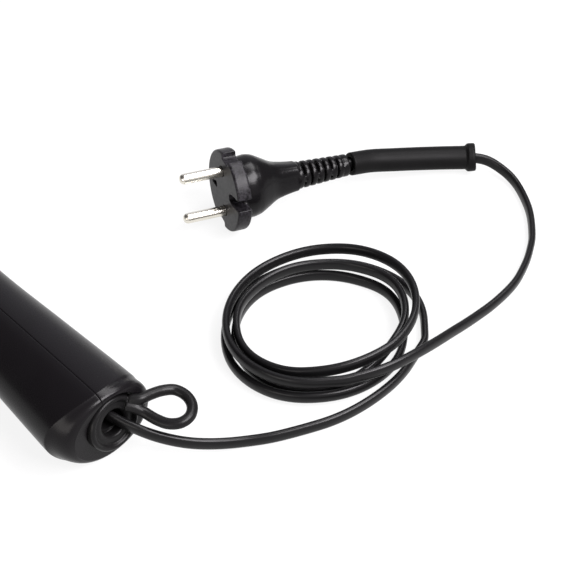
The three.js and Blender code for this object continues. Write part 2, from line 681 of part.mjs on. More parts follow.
const motorFront = plateAt - seat;
const motorBack = motorFront - motorLength;
piece('motor_can', turned([
  [motorBack, motorRadius - motorWall], [motorBack, motorRadius], [motorFront, motorRadius],
  [motorFront, shaftRadius + bearingClear], [motorFront - motorWall, shaftRadius + bearingClear],
  [motorFront - motorWall, motorRadius - motorWall], [motorBack, motorRadius - motorWall],
], 24), steel);
piece('motor_end_cap', turned([
  [motorBack - seat, motorRadius], [motorBack - seat, shaftRadius + bearingClear],
  [motorBack - motorCapLength, shaftRadius + bearingClear], [motorBack - motorCapLength, motorRadius * 0.55],
  [motorBack - motorCapLength + 1.6, motorRadius], [motorBack - seat, motorRadius],
], 24), greyPlastic);
for (const [name, turn] of [['motor_magnet_upper', 0], ['motor_magnet_lower', Math.PI]]) {
  const arc = new THREE.Shape();
  const [outer, inner] = [motorRadius - motorWall - seat, magnetInner];
  arc.absarc(0, 0, outer, turn - 1.1, turn + 1.1, false);
  arc.absarc(0, 0, inner, turn + 1.1, turn - 1.1, true);
  const magnet = new THREE.ExtrudeGeometry(arc, {
    depth: motorLength - magnetShort, bevelEnabled: false, curveSegments: 6,
  }).rotateY(-Math.PI / 2).translate(motorFront - 4, 0, 0);
  piece(name, magnet, screwSteel);
}

const fanFrom = plateAt + plateThick + fanGap;
const shaftFrom = motorBack - motorCapLength + 0.6;
const shaftTo = fanFrom + fanLength - 1.2;
piece('motor_shaft', rod(shaftFrom, shaftTo, shaftRadius, 14), steel);
piece('motor_armature', turned([
  [motorBack + 3, shaftRadius + shaftClear], [motorBack + 3, 3], [motorBack + 7, 3], [motorBack + 7, armatureRadius],
  [motorFront - 5, armatureRadius], [motorFront - 5, shaftRadius + shaftClear],
  [motorBack + 3, shaftRadius + shaftClear],
], 18), heaterAlloy);

function fanWheel() {
  const hub = turned([
    [fanFrom, shaftRadius + shaftClear], [fanFrom, fanHub], [fanFrom + fanLength - 2, fanHub],
    [fanFrom + fanLength, fanHub - 2], [fanFrom + fanLength, 0], [shaftTo + seat, 0],
    [shaftTo + seat, shaftRadius + shaftClear], [fanFrom, shaftRadius + shaftClear],
  ], 14);
  let wheel = solid(hub);
  for (let i = 0; i < fanBlades; i += 1) {
    const rows = [0, 0.25, 0.5, 0.75, 1].map((t) => {
      const radius = fanHub - 0.6 + (fanRadius - fanHub + 0.6) * t;
      const lean = THREE.MathUtils.degToRad(fanTwist * (1.25 - 0.5 * t));
      const half = (fanLength - 2.4) / 2;
      const [s, c] = [Math.sin(lean), Math.cos(lean)];
      return [[-half, -bladeThick / 2], [half, -bladeThick / 2], [half, bladeThick / 2], [-half, bladeThick / 2]]
        .map(([u, v]) => new THREE.Vector3(fanFrom + half + 0.2 + u * c - v * s, u * s + v * c, radius));
    });
    const blade = ringsToGeometry(rows).rotateX((2 * Math.PI * i) / fanBlades);
    wheel = wheel.add(solid(blade));
  }
  return wheel;
}
piece('fan_wheel', shapeOf(fanWheel()), innerWhite);

// Nozzle, heater and nose ring

const flangeAt = heatWallAt + heatWallThick + seat;
const nozzleEnd = flangeAt + nozzleLength;
const nozzleInner = nozzleRadius - nozzleWall;
piece('nozzle_tube', turned([
  [flangeAt, nozzleInner], [flangeAt, nozzleFlange], [flangeAt + nozzleFlangeThick, nozzleFlange],
  [flangeAt + nozzleFlangeThick, nozzleRadius], [nozzleEnd - nozzleStraightMouth - nozzleCone, nozzleRadius],
  [nozzleEnd - nozzleStraightMouth, nozzleMouth],
  [nozzleEnd - 1, nozzleMouth], [nozzleEnd - 0.7, nozzleMouth + nozzleLip],
  [nozzleEnd, nozzleMouth + nozzleLip], [nozzleEnd, nozzleMouth - nozzleWall],
  [nozzleEnd - nozzleStraightMouth, nozzleMouth - nozzleWall],
  [nozzleEnd - nozzleStraightMouth - nozzleCone, nozzleInner], [flangeAt, nozzleInner],
], 28), steel);

const noseBack = flangeAt + nozzleFlangeThick + seat;
const noseFront = housingLength + noseLength;
const spigotRadius = headHalfSize - wall - seat;
const noseInner = nozzleRadius + noseClear;
piece('nose_ring', turned([
  [noseBack, noseInner], [noseBack, spigotRadius], [beadAt, spigotRadius], [beadAt, spigotRadius + beadReach],
  [beadAt + beadLength, spigotRadius + beadReach], [beadAt + beadLength, spigotRadius],
  [housingLength + seat, spigotRadius], [housingLength + seat, headHalfSize - 0.3],
  [noseFront - 3, headHalfSize - 1.2],
  [noseFront - 1, noseEndRadius], [noseFront, noseEndRadius - 1], [noseFront, noseInner], [noseBack, noseInner],
], 28), greyPlastic);

const heaterFrom = flangeAt + nozzleFlangeThick + 2;
const sleeveRadius = nozzleInner - seat;
const formerRadius = sleeveRadius - sleeveWall - formerClear;
const sleeveTo = heaterFrom + sleeveLength;
piece('heater_sleeve', pipe(heaterFrom, sleeveTo, sleeveRadius, sleeveRadius - sleeveWall, 28), mica);

function heaterFormer() {
  // A mica cross, with an end disc that rests in the sleeve and lets the air past.
  const arm = block(
    heaterFrom + 0.5, heaterFrom + formerLength, -formerThick / 2, formerThick / 2, -formerRadius, formerRadius,
  );
  let former = solid(arm).add(solid(arm.clone().rotateX(Math.PI / 2)));
  const ventAt = 0.6 * (sleeveRadius - sleeveWall);
  const ventRadius = 0.24 * (sleeveRadius - sleeveWall);
  let disc = solid(rod(heaterFrom + 0.5, heaterFrom + 0.5 + formerThick, sleeveRadius - sleeveWall - seat, 28));
  for (let i = 0; i < 4; i += 1) {
    const turn = Math.PI / 4 + (i * Math.PI) / 2;
    const hole = rod(heaterFrom - 1, heaterFrom + 3, ventRadius, 16);
    disc = disc.subtract(solid(hole.translate(0, ventAt * Math.cos(turn), ventAt * Math.sin(turn))));
  }
  former = former.add(disc);
  return former;
}
piece('heater_former', shapeOf(heaterFormer()), mica);

function heaterCoil() {
  // One wire, wound round the arms of the cross with straight ends.
  const radius = formerRadius + heaterWire / 2 + 0.35;
  const from = heaterFrom + heaterStart;
  const steps = heaterTurns * 12;
  const centre = Array.from({ length: steps + 1 }, (_, i) => {
    const angle = 0.4 + (2 * Math.PI * i) / 12;
    return new THREE.Vector3(from + (heaterPitch * i) / 12, radius * Math.cos(angle), radius * Math.sin(angle));
  });
  return ringsToGeometry(tubeRings(centre, 4, heaterWire / 2, heaterWire / 2));
}

function tubeRings(centre, sides, across, upward, phase = Math.PI / 4) {
  // Sections square to a path: one axis lies level and the other stands up from it.
  const up = new THREE.Vector3(0, 0, 1);
  return centre.map((p, i) => {
    const before = centre[Math.max(0, i - 1)];
    const after = centre[Math.min(centre.length - 1, i + 1)];
    const along = new THREE.Vector3().subVectors(after, before).normalize();
    const level = new THREE.Vector3().crossVectors(along, up).normalize();
    const stand = new THREE.Vector3().crossVectors(level, along);
    return Array.from({ length: sides }, (_, j) => {
      const angle = phase + (2 * Math.PI * j) / sides;
      return p.clone().addScaledVector(level, across * Math.cos(angle))
        .addScaledVector(stand, upward * Math.sin(angle));
    });
  });
}
piece('heater_coil', heaterCoil(), heaterAlloy);

const cutoutTo = heaterFrom + 0.5 - seat;
piece('thermal_cutout', turned([
  [cutoutTo - cutoutThick, 0], [cutoutTo - cutoutThick, cutoutRadius - 0.6], [cutoutTo - cutoutThick + 0.6, cutoutRadius],
  [cutoutTo, cutoutRadius], [cutoutTo, 0],
], 20), steel);

function mouthGrille() {
  // Two crossed bars in a ring, pressed into the nozzle's mouth.
  const outer = nozzleMouth - nozzleWall - seat;
  const from = nozzleEnd - grilleInset - grilleBar;
  let grille = solid(pipe(from, from + grilleBar, outer, outer - grilleBar, 28));
  for (const turn of [0, Math.PI / 2]) {
    const bar = block(from, from + grilleBar, -grilleBar / 2, grilleBar / 2, -outer + 0.5, outer - 0.5).rotateX(turn);
    grille = grille.add(solid(bar));
  }
  return grille;
}
piece('mouth_grille', shapeOf(mouthGrille()), steel);

// Everything up to here was modelled about the tool's axis.
tool.children.forEach((mesh) => mesh.geometry.translate(0, 0, axisHeight));

// Plug, in a frame of its own: +X the way that the pins point, the face's middle at the origin

const plug = new THREE.Group();
plug.position.copy(plugFace);
plug.rotation.set(
  THREE.MathUtils.degToRad(plugRoll), THREE.MathUtils.degToRad(-plugPitch), THREE.MathUtils.degToRad(plugYaw), 'ZYX',
);
tool.add(plug);

function plugBody() {
  let body = solid(turned([
    [-discThick, 0], [-discThick, discRadius - 0.8], [-discThick + 0.8, discRadius], [-0.8, discRadius],
    [0, discRadius - 0.8], [0, 0],
  ], 36));
  for (const degrees of notchAngles) {
    const notch = block(-discThick - 1, 1, -notchWide / 2, notchWide / 2, discRadius - notchDepth, discRadius + 3)
      .rotateX(THREE.MathUtils.degToRad(-degrees));
    body = body.subtract(solid(notch));
  }
  const bulb = ringsToGeometry(bulbProfile.map(([back, half]) => oval(-back, half * bulbFlat, half, 18)));
  body = body.add(solid(bulb));
  const reliefFrom = bulbProfile[bulbProfile.length - 1][0];
  body = body.add(solid(rod(-reliefEnd, -reliefFrom + 1, reliefCore, 14)));
  const pitch = (reliefEnd - reliefFrom) / reliefRibs;
  for (let i = 0; i < reliefRibs; i += 1) {
    const radius = reliefRoot + ((reliefTip - reliefRoot) * i) / (reliefRibs - 1);
    const to = -reliefFrom - (i + 1) * pitch;
    body = body.add(solid(rod(to, to + pitch * ribShare, radius, 14)));
    // Webs join each rib to the one before, by turns at the sides and at the top and bottom.
    const web = block(to, to + pitch + 0.2, -webThick / 2, webThick / 2, -radius * 0.96, radius * 0.96)
      .rotateX(i % 2 ? Math.PI / 2 : 0);
    body = body.add(solid(web));
  }
  for (const side of [-1, 1]) {
    const root = rod(-pinRoot - seat, 1, pinRadius + seat, 14).translate(0, 0, (side * pinPitch) / 2);
    body = body.subtract(solid(root));
  }
  // The cord's bore stays upright as the cord is, however the plug is turned.
  const bore = ringsToGeometry([-reliefEnd - 1, -reliefEnd + reliefBoreDepth].map((x) => cordOval(cordClear)
    .map(([y, z]) => new THREE.Vector3(x, y, z)))).rotateX(THREE.MathUtils.degToRad(-plugRoll));
  return body.subtract(solid(bore));
}
const plugMeshes = [piece('plug_body', shapeOf(plugBody()), plugPlastic, plug)];
for (const [name, side] of [['plug_pin_upper', 1], ['plug_pin_lower', -1]]) {
  const pin = turned([
    [-pinRoot, 0], [-pinRoot, pinRadius], [pinLength - 2, pinRadius], [pinLength - 0.9, pinRadius * 0.86],
    [pinLength - 0.2, pinRadius * 0.5], [pinLength, 0],
  ], 16).translate(0, 0, (side * pinPitch) / 2);
  plugMeshes.push(piece(name, pin, brightMetal, plug));
}
plug.updateMatrixWorld(true);

// Coil

function coilValue(turns, column) {
  // A smooth curve through the rows: a cubic between two rows, with the slope taken from their neighbours.
  let i = 0;
  while (i < coilRows.length - 2 && coilRows[i + 1][0] < turns) {
    i += 1;
  }
  const slope = (k) => {
    const [a, b] = [coilRows[Math.max(0, k - 1)], coilRows[Math.min(coilRows.length - 1, k + 1)]];
    return (b[column] - a[column]) / (b[0] - a[0]);
  };
  const [p, q] = [coilRows[i], coilRows[i + 1]];
  const span = q[0] - p[0];
  const t = (turns - p[0]) / span;
  return p[column] * (2 * t ** 3 - 3 * t ** 2 + 1) + slope(i) * span * (t ** 3 - 2 * t ** 2 + t)
    + q[column] * (3 * t ** 2 - 2 * t ** 3) + slope(i + 1) * span * (t ** 3 - t ** 2);
}

function coilPoint(turns) {
  const angle = THREE.MathUtils.degToRad(coilStart) + 2 * Math.PI * turns;
  const radius = coilValue(turns, 1);
  return new THREE.Vector3(
    coilMiddle.x + radius * Math.cos(angle), coilMiddle.y + radius * Math.sin(angle),
    cordBase + coilValue(turns, 2),
  );
}

const coilTurns = coilRows[coilRows.length - 1][0];
const coilCount = Math.round(coilTurns * coilSteps);
const coilCentre = Array.from({ length: coilCount + 1 }, (_, i) => coilPoint((coilTurns * i) / coilCount));
const levelWay = (from, to) => new THREE.Vector3().subVectors(to, from).setZ(0).normalize();
const coilInward = levelWay(coilPoint(0), coilPoint(0.01));
const coilOutward = levelWay(coilPoint(coilTurns - 0.01), coilPoint(coilTurns));
coilCentre.unshift(coilCentre[0].clone().addScaledVector(coilInward, -coilEnd));
coilCentre.push(coilCentre[coilCount + 1].clone().addScaledVector(coilOutward, coilEnd));

function leastGap(centre) {
  // The least gap of the wound tube to itself, between points on its middle line, as for upright flat sections.
  const fine = [];
  for (let i = 0; i + 1 < centre.length; i += 1) {
    for (let k = 0; k < 6; k += 1) {
      fine.push(centre[i].clone().lerp(centre[i + 1], k / 6));
    }
  }
  let least = Infinity;
  for (let i = 0; i < fine.length; i += 1) {
    for (let j = i + 60; j < fine.length; j += 1) {
      const level = Math.hypot(fine[i].x - fine[j].x, fine[i].y - fine[j].y) - cordThick;
      const upright = Math.abs(fine[i].z - fine[j].z) - cordHigh;
      least = Math.min(least, Math.hypot(Math.max(0, level), Math.max(0, upright)));
    }
  }
  return least;
}
console.log('least gap of the coil to itself, mm:', leastGap(coilCentre).toFixed(2));
const coilSidesPhase = Math.PI / 2;
cordParts.push(piece('cord_coil', ringsToGeometry(
  tubeRings(coilCentre, 6, cordThick / 2, cordHigh / 2, coilSidesPhase),
), cordPlastic));

// Free cord: one tube from the ring to the coil, and one from the coil through its sleeve to the plug

function cordTube(name, points) {
  const path = new THREE.CatmullRomCurve3(points, false, 'centripetal');
  const section = new THREE.Shape(cordOval(0, 10).map(([y, z]) => new THREE.Vector2(z, y)));
  const steps = Math.round(path.getLength() / routeStep);
  const tube = new THREE.ExtrudeGeometry(section, { steps, extrudePath: path });
  cordParts.push(piece(name, tube, cordPlastic));
  return path.getLength();
}

const vector = (p) => new THREE.Vector3(...p);
const coilIn = coilCentre[0].clone().addScaledVector(coilInward, -seat);
const coilOut = coilCentre[coilCentre.length - 1].clone().addScaledVector(coilOutward, seat);
const plugTail = (back) => plug.localToWorld(new THREE.Vector3(-back, 0, 0));
const reliefBore = plugTail(reliefEnd - reliefBoreDepth + seat);
cordTube('cord_tool_side', [
  ...toolRoute.map(vector), coilIn.clone().addScaledVector(coilInward, -coilLead), coilIn,
]);
const plugSide = [
  coilOut, coilOut.clone().addScaledVector(coilOutward, coilLead), ...plugRoute.map(vector),
  plugTail(reliefEnd + 4), plugTail(reliefEnd - 2), reliefBore,
];
cordTube('cord_plug_side', plugSide);

// Loose rubber sleeve on the cord, with its collar

const sleeveRoute = plugRoute.slice(-sleeveRows).reverse().map(vector);
const sleevePath = new THREE.CatmullRomCurve3(
  [plugTail(reliefEnd + 1.2), plugTail(reliefEnd + 6), ...sleeveRoute], false, 'centripetal',
);
const sleeveSection = new THREE.Shape().absarc(0, 0, sleeveOuter, 0, 2 * Math.PI);
sleeveSection.holes.push(new THREE.Path().absarc(0, 0, sleeveInner, 0, 2 * Math.PI, true));
const sleeve = new THREE.ExtrudeGeometry(sleeveSection, { steps: 8, curveSegments: 5, extrudePath: sleevePath });
const collarDirection = sleevePath.getTangentAt(1);
const collar = pipe(-collarThick, 0, collarOuter, sleeveInner, 16);
const collarTurn = new THREE.Quaternion().setFromUnitVectors(new THREE.Vector3(1, 0, 0), collarDirection);
collar.applyQuaternion(collarTurn).translate(...sleevePath.getPointAt(1).toArray());
cordParts.push(piece('cord_sleeve', shapeOf(solid(sleeve).add(solid(collar))), rubber));

// The origin goes on the table under the middle of the tool, the cord and what is on it left out.

const whole = new THREE.Group();
whole.add(tool);
tool.updateMatrixWorld(true);
const extent = new THREE.Box3();
tool.children.filter((item) => item.isMesh && !cordParts.includes(item))
  .forEach((item) => extent.expandByObject(item, true));
const middle = extent.getCenter(new THREE.Vector3());
tool.position.set(-middle.x, -middle.y, -extent.min.z);
console.log('rear face at, mm:', tool.position.toArray().map((v) => v.toFixed(3)).join(' '));

export default whole;
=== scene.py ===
import math

import bmesh
import bpy
import numpy as np
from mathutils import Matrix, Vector

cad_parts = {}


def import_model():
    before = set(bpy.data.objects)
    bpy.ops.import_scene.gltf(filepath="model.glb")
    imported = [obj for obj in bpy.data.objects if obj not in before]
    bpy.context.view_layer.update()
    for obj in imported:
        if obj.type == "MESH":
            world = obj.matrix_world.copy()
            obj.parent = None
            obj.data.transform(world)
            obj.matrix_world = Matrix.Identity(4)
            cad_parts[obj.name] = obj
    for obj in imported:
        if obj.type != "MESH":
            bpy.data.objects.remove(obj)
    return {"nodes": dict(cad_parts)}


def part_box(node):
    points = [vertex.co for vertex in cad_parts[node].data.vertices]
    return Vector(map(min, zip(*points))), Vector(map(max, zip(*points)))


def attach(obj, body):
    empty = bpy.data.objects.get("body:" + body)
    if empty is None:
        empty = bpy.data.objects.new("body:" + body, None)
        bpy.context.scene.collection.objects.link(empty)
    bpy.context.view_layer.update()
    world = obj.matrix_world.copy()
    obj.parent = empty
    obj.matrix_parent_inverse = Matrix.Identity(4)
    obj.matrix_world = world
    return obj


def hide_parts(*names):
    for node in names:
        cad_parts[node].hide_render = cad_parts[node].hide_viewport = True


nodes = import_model()["nodes"]
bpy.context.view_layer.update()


# Table, light and camera
# The tool lies on a white table in soft, even light that comes mostly from the sides and from the table
# itself, and is seen from behind and above, so that its front end runs out of the picture.

class Shade:
    """An output socket of a node tree. Sums and products of them add Math nodes to the tree."""

    def __init__(self, tree, socket=None):
        self.tree = tree
        self.socket = socket

    def node(self, kind, settings=None, inputs=None, output=0):
        """A new node of a kind: its settings are set first, then the values or links of its inputs."""
        made = self.tree.nodes.new(kind)
        for name, value in (settings or {}).items():
            setattr(made, name, value)
        for name, value in (inputs or {}).items():
            if isinstance(value, Shade):
                self.tree.links.new(value.socket, made.inputs[name])
            else:
                made.inputs[name].default_value = value
        return Shade(self.tree, made.outputs[output])

    def __add__(self, other):
        return self.node("ShaderNodeMath", {"operation": "ADD"}, {0: self, 1: other})

    def __mul__(self, other):
        return self.node("ShaderNodeMath", {"operation": "MULTIPLY"}, {0: self, 1: other})

    __radd__ = __add__
    __rmul__ = __mul__

    def step(self, low, high):
        """0 below low, 1 above high, and an even climb between them."""
        return self.node("ShaderNodeMapRange", {}, {"Value": self, "From Min": low, "From Max": high})

    def noise(self, scale, detail=2.0, rough=0.5, place=None):
        """A soft random pattern on the object or on another place, about one blob in 1/scale metres."""
        inputs = {"Vector": place or self.place(), "Scale": scale, "Detail": detail, "Roughness": rough}
        return self.node("ShaderNodeTexNoise", {}, inputs)

    def blend(self, factor, first, second):
        """One colour fading into another as factor goes from 0 to 1."""
        colours = {6 + i: c if isinstance(c, Shade) else (*c, 1.0) for i, c in enumerate((first, second))}
        return self.node("ShaderNodeMix", {"data_type": "RGBA"}, {0: factor, **colours}, output=2)

    def bump(self, height, depth, strength=1.0):
        """Normals tilted by a height pattern that stands depth metres proud where it is 1."""
        return self.node("ShaderNodeBump", {}, {"Height": height, "Distance": depth, "Strength": strength})

    def place(self):
        """A point's place on the object, in metres."""
        return self.node("ShaderNodeTexCoord", output=3)

    def stretched(self, scale, place=None):
        """The place on the object, or another one, with each of its axes scaled."""
        return self.node("ShaderNodeMapping", {}, {"Vector": place or self.place(), "Scale": scale})

    def part(self, axis):
        """One part of a vector: 0, 1 or 2 for x, y or z."""
        return self.node("ShaderNodeSeparateXYZ", {}, {0: self}, output=axis)


def finish(name, recipe):
    """A material whose shader takes the numbers, colours and links that recipe(start) gives by socket name."""
    material = bpy.data.materials.new(name)
    material.use_nodes = True
    tree = material.node_tree
    shader = tree.nodes["Principled BSDF"]
    for socket, value in recipe(Shade(tree)).items():
        if isinstance(value, Shade):
            tree.links.new(value.socket, shader.inputs[socket])
        else:
            shader.inputs[socket].default_value = value
    return material


def white_table(start):
    """White board that gives light of its own, so that it comes out as plain white."""
    cloud = start.noise(6.0)
    return {
        "Base Color": start.blend(cloud, (0.08, 0.08, 0.08), (0.1, 0.1, 0.1)),
        "Roughness": 0.9,
        "Specular IOR Level": 0.0,
        "Emission Color": (1.0, 1.0, 1.0, 1.0),
        "Emission Strength": 0.87,
    }


def added(name, data):
    """A new object in the scene."""
    made = bpy.data.objects.new(name, data)
    bpy.context.scene.collection.objects.link(made)
    return made


TABLE_HALF = 6.0
table_mesh = bpy.data.meshes.new("table")
table_corners = [(x * TABLE_HALF, y * TABLE_HALF, 0.0) for x, y in ((-1, -1), (1, -1), (1, 1), (-1, 1))]
table_mesh.from_pydata(table_corners, [], [(0, 1, 2, 3)])
table_mesh.materials.append(finish("white table", white_table))
table = added("table", table_mesh)

HORIZON_LIGHT = 1.0
HORIZON_FADE = (0.005, 0.03)
ROOM_LIGHT = (0.14, 0.135, 0.14)
LIT_PARTS = (       # the way to a lit part of the room, how near to that way it fades in, and its light
    ((-0.8, 0.42, 0.42), (0.6, 0.95), (1.0, 0.97, 0.99)),       # behind the tool, on the camera's side
    ((0.67, -0.6, 0.42), (0.8, 0.96), (0.8, 0.8, 0.86)),        # beyond the tool, on its right
)
world = bpy.data.worlds.new("studio")
world.use_nodes = True
bpy.context.scene.world = world
sky = Shade(world.node_tree)
direction = sky.node("ShaderNodeTexCoord", output=0)
sky_colour = ROOM_LIGHT
for way, fade, lit in LIT_PARTS:
    share = sky.node("ShaderNodeVectorMath", {"operation": "DOT_PRODUCT"}, {0: direction, 1: way}, output=1)
    sky_colour = sky.blend(share.step(*fade), sky_colour, lit)
sky_colour = sky.blend(direction.part(2).step(*HORIZON_FADE), (HORIZON_LIGHT,) * 3, sky_colour)
background = world.node_tree.nodes["Background"]
world.node_tree.links.new(sky_colour.socket, background.inputs["Color"])
background.inputs["Strength"].default_value = 1.0

# Places are worked out in millimetres from the rear end face, the seam and the table, as on a drawing.
MM = 0.001
AXIS_HEIGHT = 17.5
SEAM_HALF = 0.15
left_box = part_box("shell_left")
nozzle_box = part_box("nozzle_tube")
home = np.array([
    left_box[0].x,
    left_box[0].y - SEAM_HALF * MM,
    (nozzle_box[0].z + nozzle_box[1].z) / 2 - AXIS_HEIGHT * MM,
])


def placed(points):
    """Points in millimetres from the rear face, the seam and the table, as metres in the shared frame."""
    return np.asarray(points, float) * MM + home


def about_axis(points):
    """Points in millimetres from the rear face, the seam and the tool's axis, as metres in the shared frame."""
    return placed(np.asarray(points, float) + [0.0, 0.0, AXIS_HEIGHT])


def soft_box(name, azimuth, elevation, distance, wide, high, radiance, colour):
    """A soft rectangle of light, at an azimuth from +X and an elevation in degrees and so many metres from the
    tool's rear end. Its power is 4 times its area times its radiance."""
    flat, up = math.radians(azimuth), math.radians(elevation)
    toward = Vector((math.cos(up) * math.cos(flat), math.cos(up) * math.sin(flat), math.sin(up)))
    light = bpy.data.lights.new(name, "AREA")
    light.shape = "RECTANGLE"
    light.size = wide
    light.size_y = high
    light.energy = 4 * wide * high * radiance
    light.color = colour
    lamp = added(name, light)
    lamp.location = Vector(about_axis((0.0, 0.0, 0.0))) + toward * distance
    lamp.rotation_euler = toward.to_track_quat("Z", "Y").to_euler()
    lamp.visible_camera = False


soft_box("key box", -151, 50, 0.62, 0.42, 0.28, 21.0, (1.0, 0.97, 1.0))
soft_box("rim box", -86, 57, 0.9, 0.42, 0.36, 10.5, (1.0, 0.98, 1.0))
soft_box("low box", 100, 15, 1.0, 0.75, 0.42, 3.7, (1.0, 0.96, 0.92))

CAMERA_PLACE = (-230.4, 127.0, 354.1)
CAMERA_AIM = (14.7, -110.6, 0.0)
FOCAL_PIXELS = 1120.0
PICTURE_PIXELS = 585.0
camera_data = bpy.data.cameras.new("camera")
camera_data.sensor_width = 36.0
camera_data.lens = camera_data.sensor_width * FOCAL_PIXELS / PICTURE_PIXELS
camera_data.clip_start = 0.01
camera_data.clip_end = 50.0
camera = added("camera", camera_data)
eye = Vector(placed(CAMERA_PLACE))
camera.location = eye
camera.rotation_euler = (Vector(placed(CAMERA_AIM)) - eye).to_track_quat("-Z", "Y").to_euler()
bpy.context.scene.camera = camera
bpy.context.scene.view_settings.view_transform = "Standard"


# Housing
# Two injection-moulded halves of black glass-filled nylon, joined on an upright seam: an oval flared tube with
# a wide conical chamfer round its rear end face. Inside are screw bosses, the switch's pad and a heat wall.

def smooth_path(points, per_span):
    """A centripetal Catmull-Rom curve: a cubic between each two points, whose end slopes come from the square
    roots of the distances to the neighbours. The points past both ends are mirror images."""
    p = np.asarray(points, float)
    p = np.vstack([2 * p[0] - p[1], p, 2 * p[-1] - p[-2]])
    gap = np.sqrt(np.linalg.norm(np.diff(p, axis=0), axis=1))[:, None]
    before, first, second, after = p[:-3], p[1:-2], p[2:-1], p[3:]
    g0, g1, g2 = gap[:-2], gap[1:-1], gap[2:]
    leave = ((first - before) / g0 - (second - before) / (g0 + g1) + (second - first) / g1) * g1
    arrive = ((second - first) / g1 - (after - first) / (g1 + g2) + (after - second) / g2) * g1
    t = np.linspace(0, 1, per_span, endpoint=False)[:, None, None]
    bend = 3 * (second - first) - 2 * leave - arrive
    twist = 2 * (first - second) + leave + arrive
    curve = first + leave * t + bend * t**2 + twist * t**3
    return np.vstack([curve.transpose(1, 0, 2).reshape(-1, p.shape[1]), p[-2]])


def parabolas(start, corner, stop, steps=5):
    """A parabola from each start to its stop that touches the lines to its corner, as a row of points."""
    t = np.linspace(0, 1, steps)[:, None]
    start, corner, stop = (p[..., None, :] for p in (start, corner, stop))
    return (1 - t) ** 2 * start + 2 * t * (1 - t) * corner + t**2 * stop


def eased(corners, radius, steps=5):
    """A closed outline with rounded corners: each corner becomes a parabola that starts and ends one radius
    away from it, or just short of halfway along a shorter side."""
    p = np.asarray(corners, float)
    reach = np.broadcast_to(np.asarray(radius, float), len(p))[:, None]

    def toward(other):
        way = other - p
        far = np.maximum(np.linalg.norm(way, axis=-1, keepdims=True), 1e-9)
        return p + way / far * np.minimum(reach, 0.45 * far)

    return parabolas(toward(np.roll(p, 1, axis=0)), p, toward(np.roll(p, -1, axis=0)), steps).reshape(-1, 2)


def skin(rings, loop=False):
    """A closed shape of quads between neighbouring rings of points. A loop joins the last ring to the first;
    otherwise fans round their middles close the end rings. Gives the points, the quads and the triangles."""
    rings = np.asarray(rings, float)
    rows, count = rings.shape[:2]
    index = np.arange(rows * count).reshape(rows, count)
    low = index if loop else index[:-1]
    high = np.roll(index, -1, axis=0) if loop else index[1:]
    beside_low, beside_high = np.roll(low, -1, axis=1), np.roll(high, -1, axis=1)
    quads = np.stack([low, beside_low, beside_high, high], axis=-1).reshape(-1, 4)
    points = rings.reshape(-1, 3)
    if loop:
        return points, quads, np.zeros((0, 3), int)
    ends = rings[[0, -1]].mean(axis=1)
    first, last = index[0], index[-1]
    middle = rows * count
    fans = [
        np.stack([np.roll(first, -1), first, np.full(count, middle)], axis=-1),
        np.stack([last, np.roll(last, -1), np.full(count, middle + 1)], axis=-1),
    ]
    return np.vstack([points, ends]), quads, np.vstack(fans)


def unit(vectors):
    """Vectors scaled to a length of 1."""
    return vectors / np.linalg.norm(vectors, axis=-1, keepdims=True)


def rotated(points, first, second, angle):
    """Points turned by an angle in the plane of two of their axes, from the first toward the second."""
    p = np.array(points, float)
    one, other = p[..., first].copy(), p[..., second].copy()
    p[..., first] = one * math.cos(angle) - other * math.sin(angle)
    p[..., second] = one * math.sin(angle) + other * math.cos(angle)
    return p


def circle(radius, sides):
    """Points on a circle."""
    angle = np.linspace(0, 2 * np.pi, sides, endpoint=False)
    return radius * np.stack([np.cos(angle), np.sin(angle)], axis=-1)


def oblong(x0, x1, y0, y1):
    """The corners of a rectangle."""
    return [[x0, y0], [x1, y0], [x1, y1], [x0, y1]]


def carried(outline, low, high, axis=2):
    """A closed shape: an outline carried from low to high along X, Y or Z, for an axis of 0, 1 or 2."""
    return skin([np.insert(np.asarray(outline, float), axis, at, axis=1) for at in (low, high)])


def block(low, high):
    """A box between two corners."""
    return carried(oblong(low[1], high[1], low[2], high[2]), low[0], high[0], 0)


def rod(start, stop, radius, sides=32):
    """A round bar between two points."""
    start, stop = np.asarray(start, float), np.asarray(stop, float)
    axis = unit(stop - start)
    side = unit(np.cross(axis, [0.0, 0.0, 1.0] if abs(axis[2]) < 0.9 else [0.0, 1.0, 0.0]))
    ring = circle(radius, sides)
    ring = ring[:, :1] * side + ring[:, 1:] * np.cross(axis, side)
    return skin([start + ring, stop + ring])


def turned(profile, sides=96):
    """A closed [x, radius] profile carried round the X axis."""
    profile = np.asarray(profile, float)[:, None]
    ring = circle(1.0, sides)
    x, radius = profile[..., :1], profile[..., 1:]
    return skin(np.concatenate([x + 0 * ring[:, :1], radius * ring], axis=-1), loop=True)


def shaped(name, parts, where=about_axis):
    """One mesh object from a list of closed shapes, taken from millimetres to the frame by where(). Shared
    corners are merged, and the faces are turned outwards."""
    offset, points, faces = 0, [], []
    for p, quads, triangles in parts:
        points.append(p)
        faces += (quads + offset).tolist() + (triangles + offset).tolist()
        offset += len(p)
    mesh = bpy.data.meshes.new(name)
    mesh.from_pydata(where(np.vstack(points)).tolist(), [], faces)
    piece = added(name, mesh)
    weld = bmesh.new()
    weld.from_mesh(mesh)
    bmesh.ops.remove_doubles(weld, verts=weld.verts, dist=1e-7)
    bmesh.ops.dissolve_degenerate(weld, edges=weld.edges, dist=1e-8)
    bmesh.ops.recalc_face_normals(weld, faces=weld.faces)
    weld.to_mesh(mesh)
    weld.free()
    return piece


def settled(piece):
    """Applies what is on a piece's modifier stack to its mesh."""
    bpy.context.view_layer.update()
    graph = bpy.context.evaluated_depsgraph_get()
    mesh = bpy.data.meshes.new_from_object(piece.evaluated_get(graph))
    piece.modifiers.clear()
    piece.data = mesh
    return piece


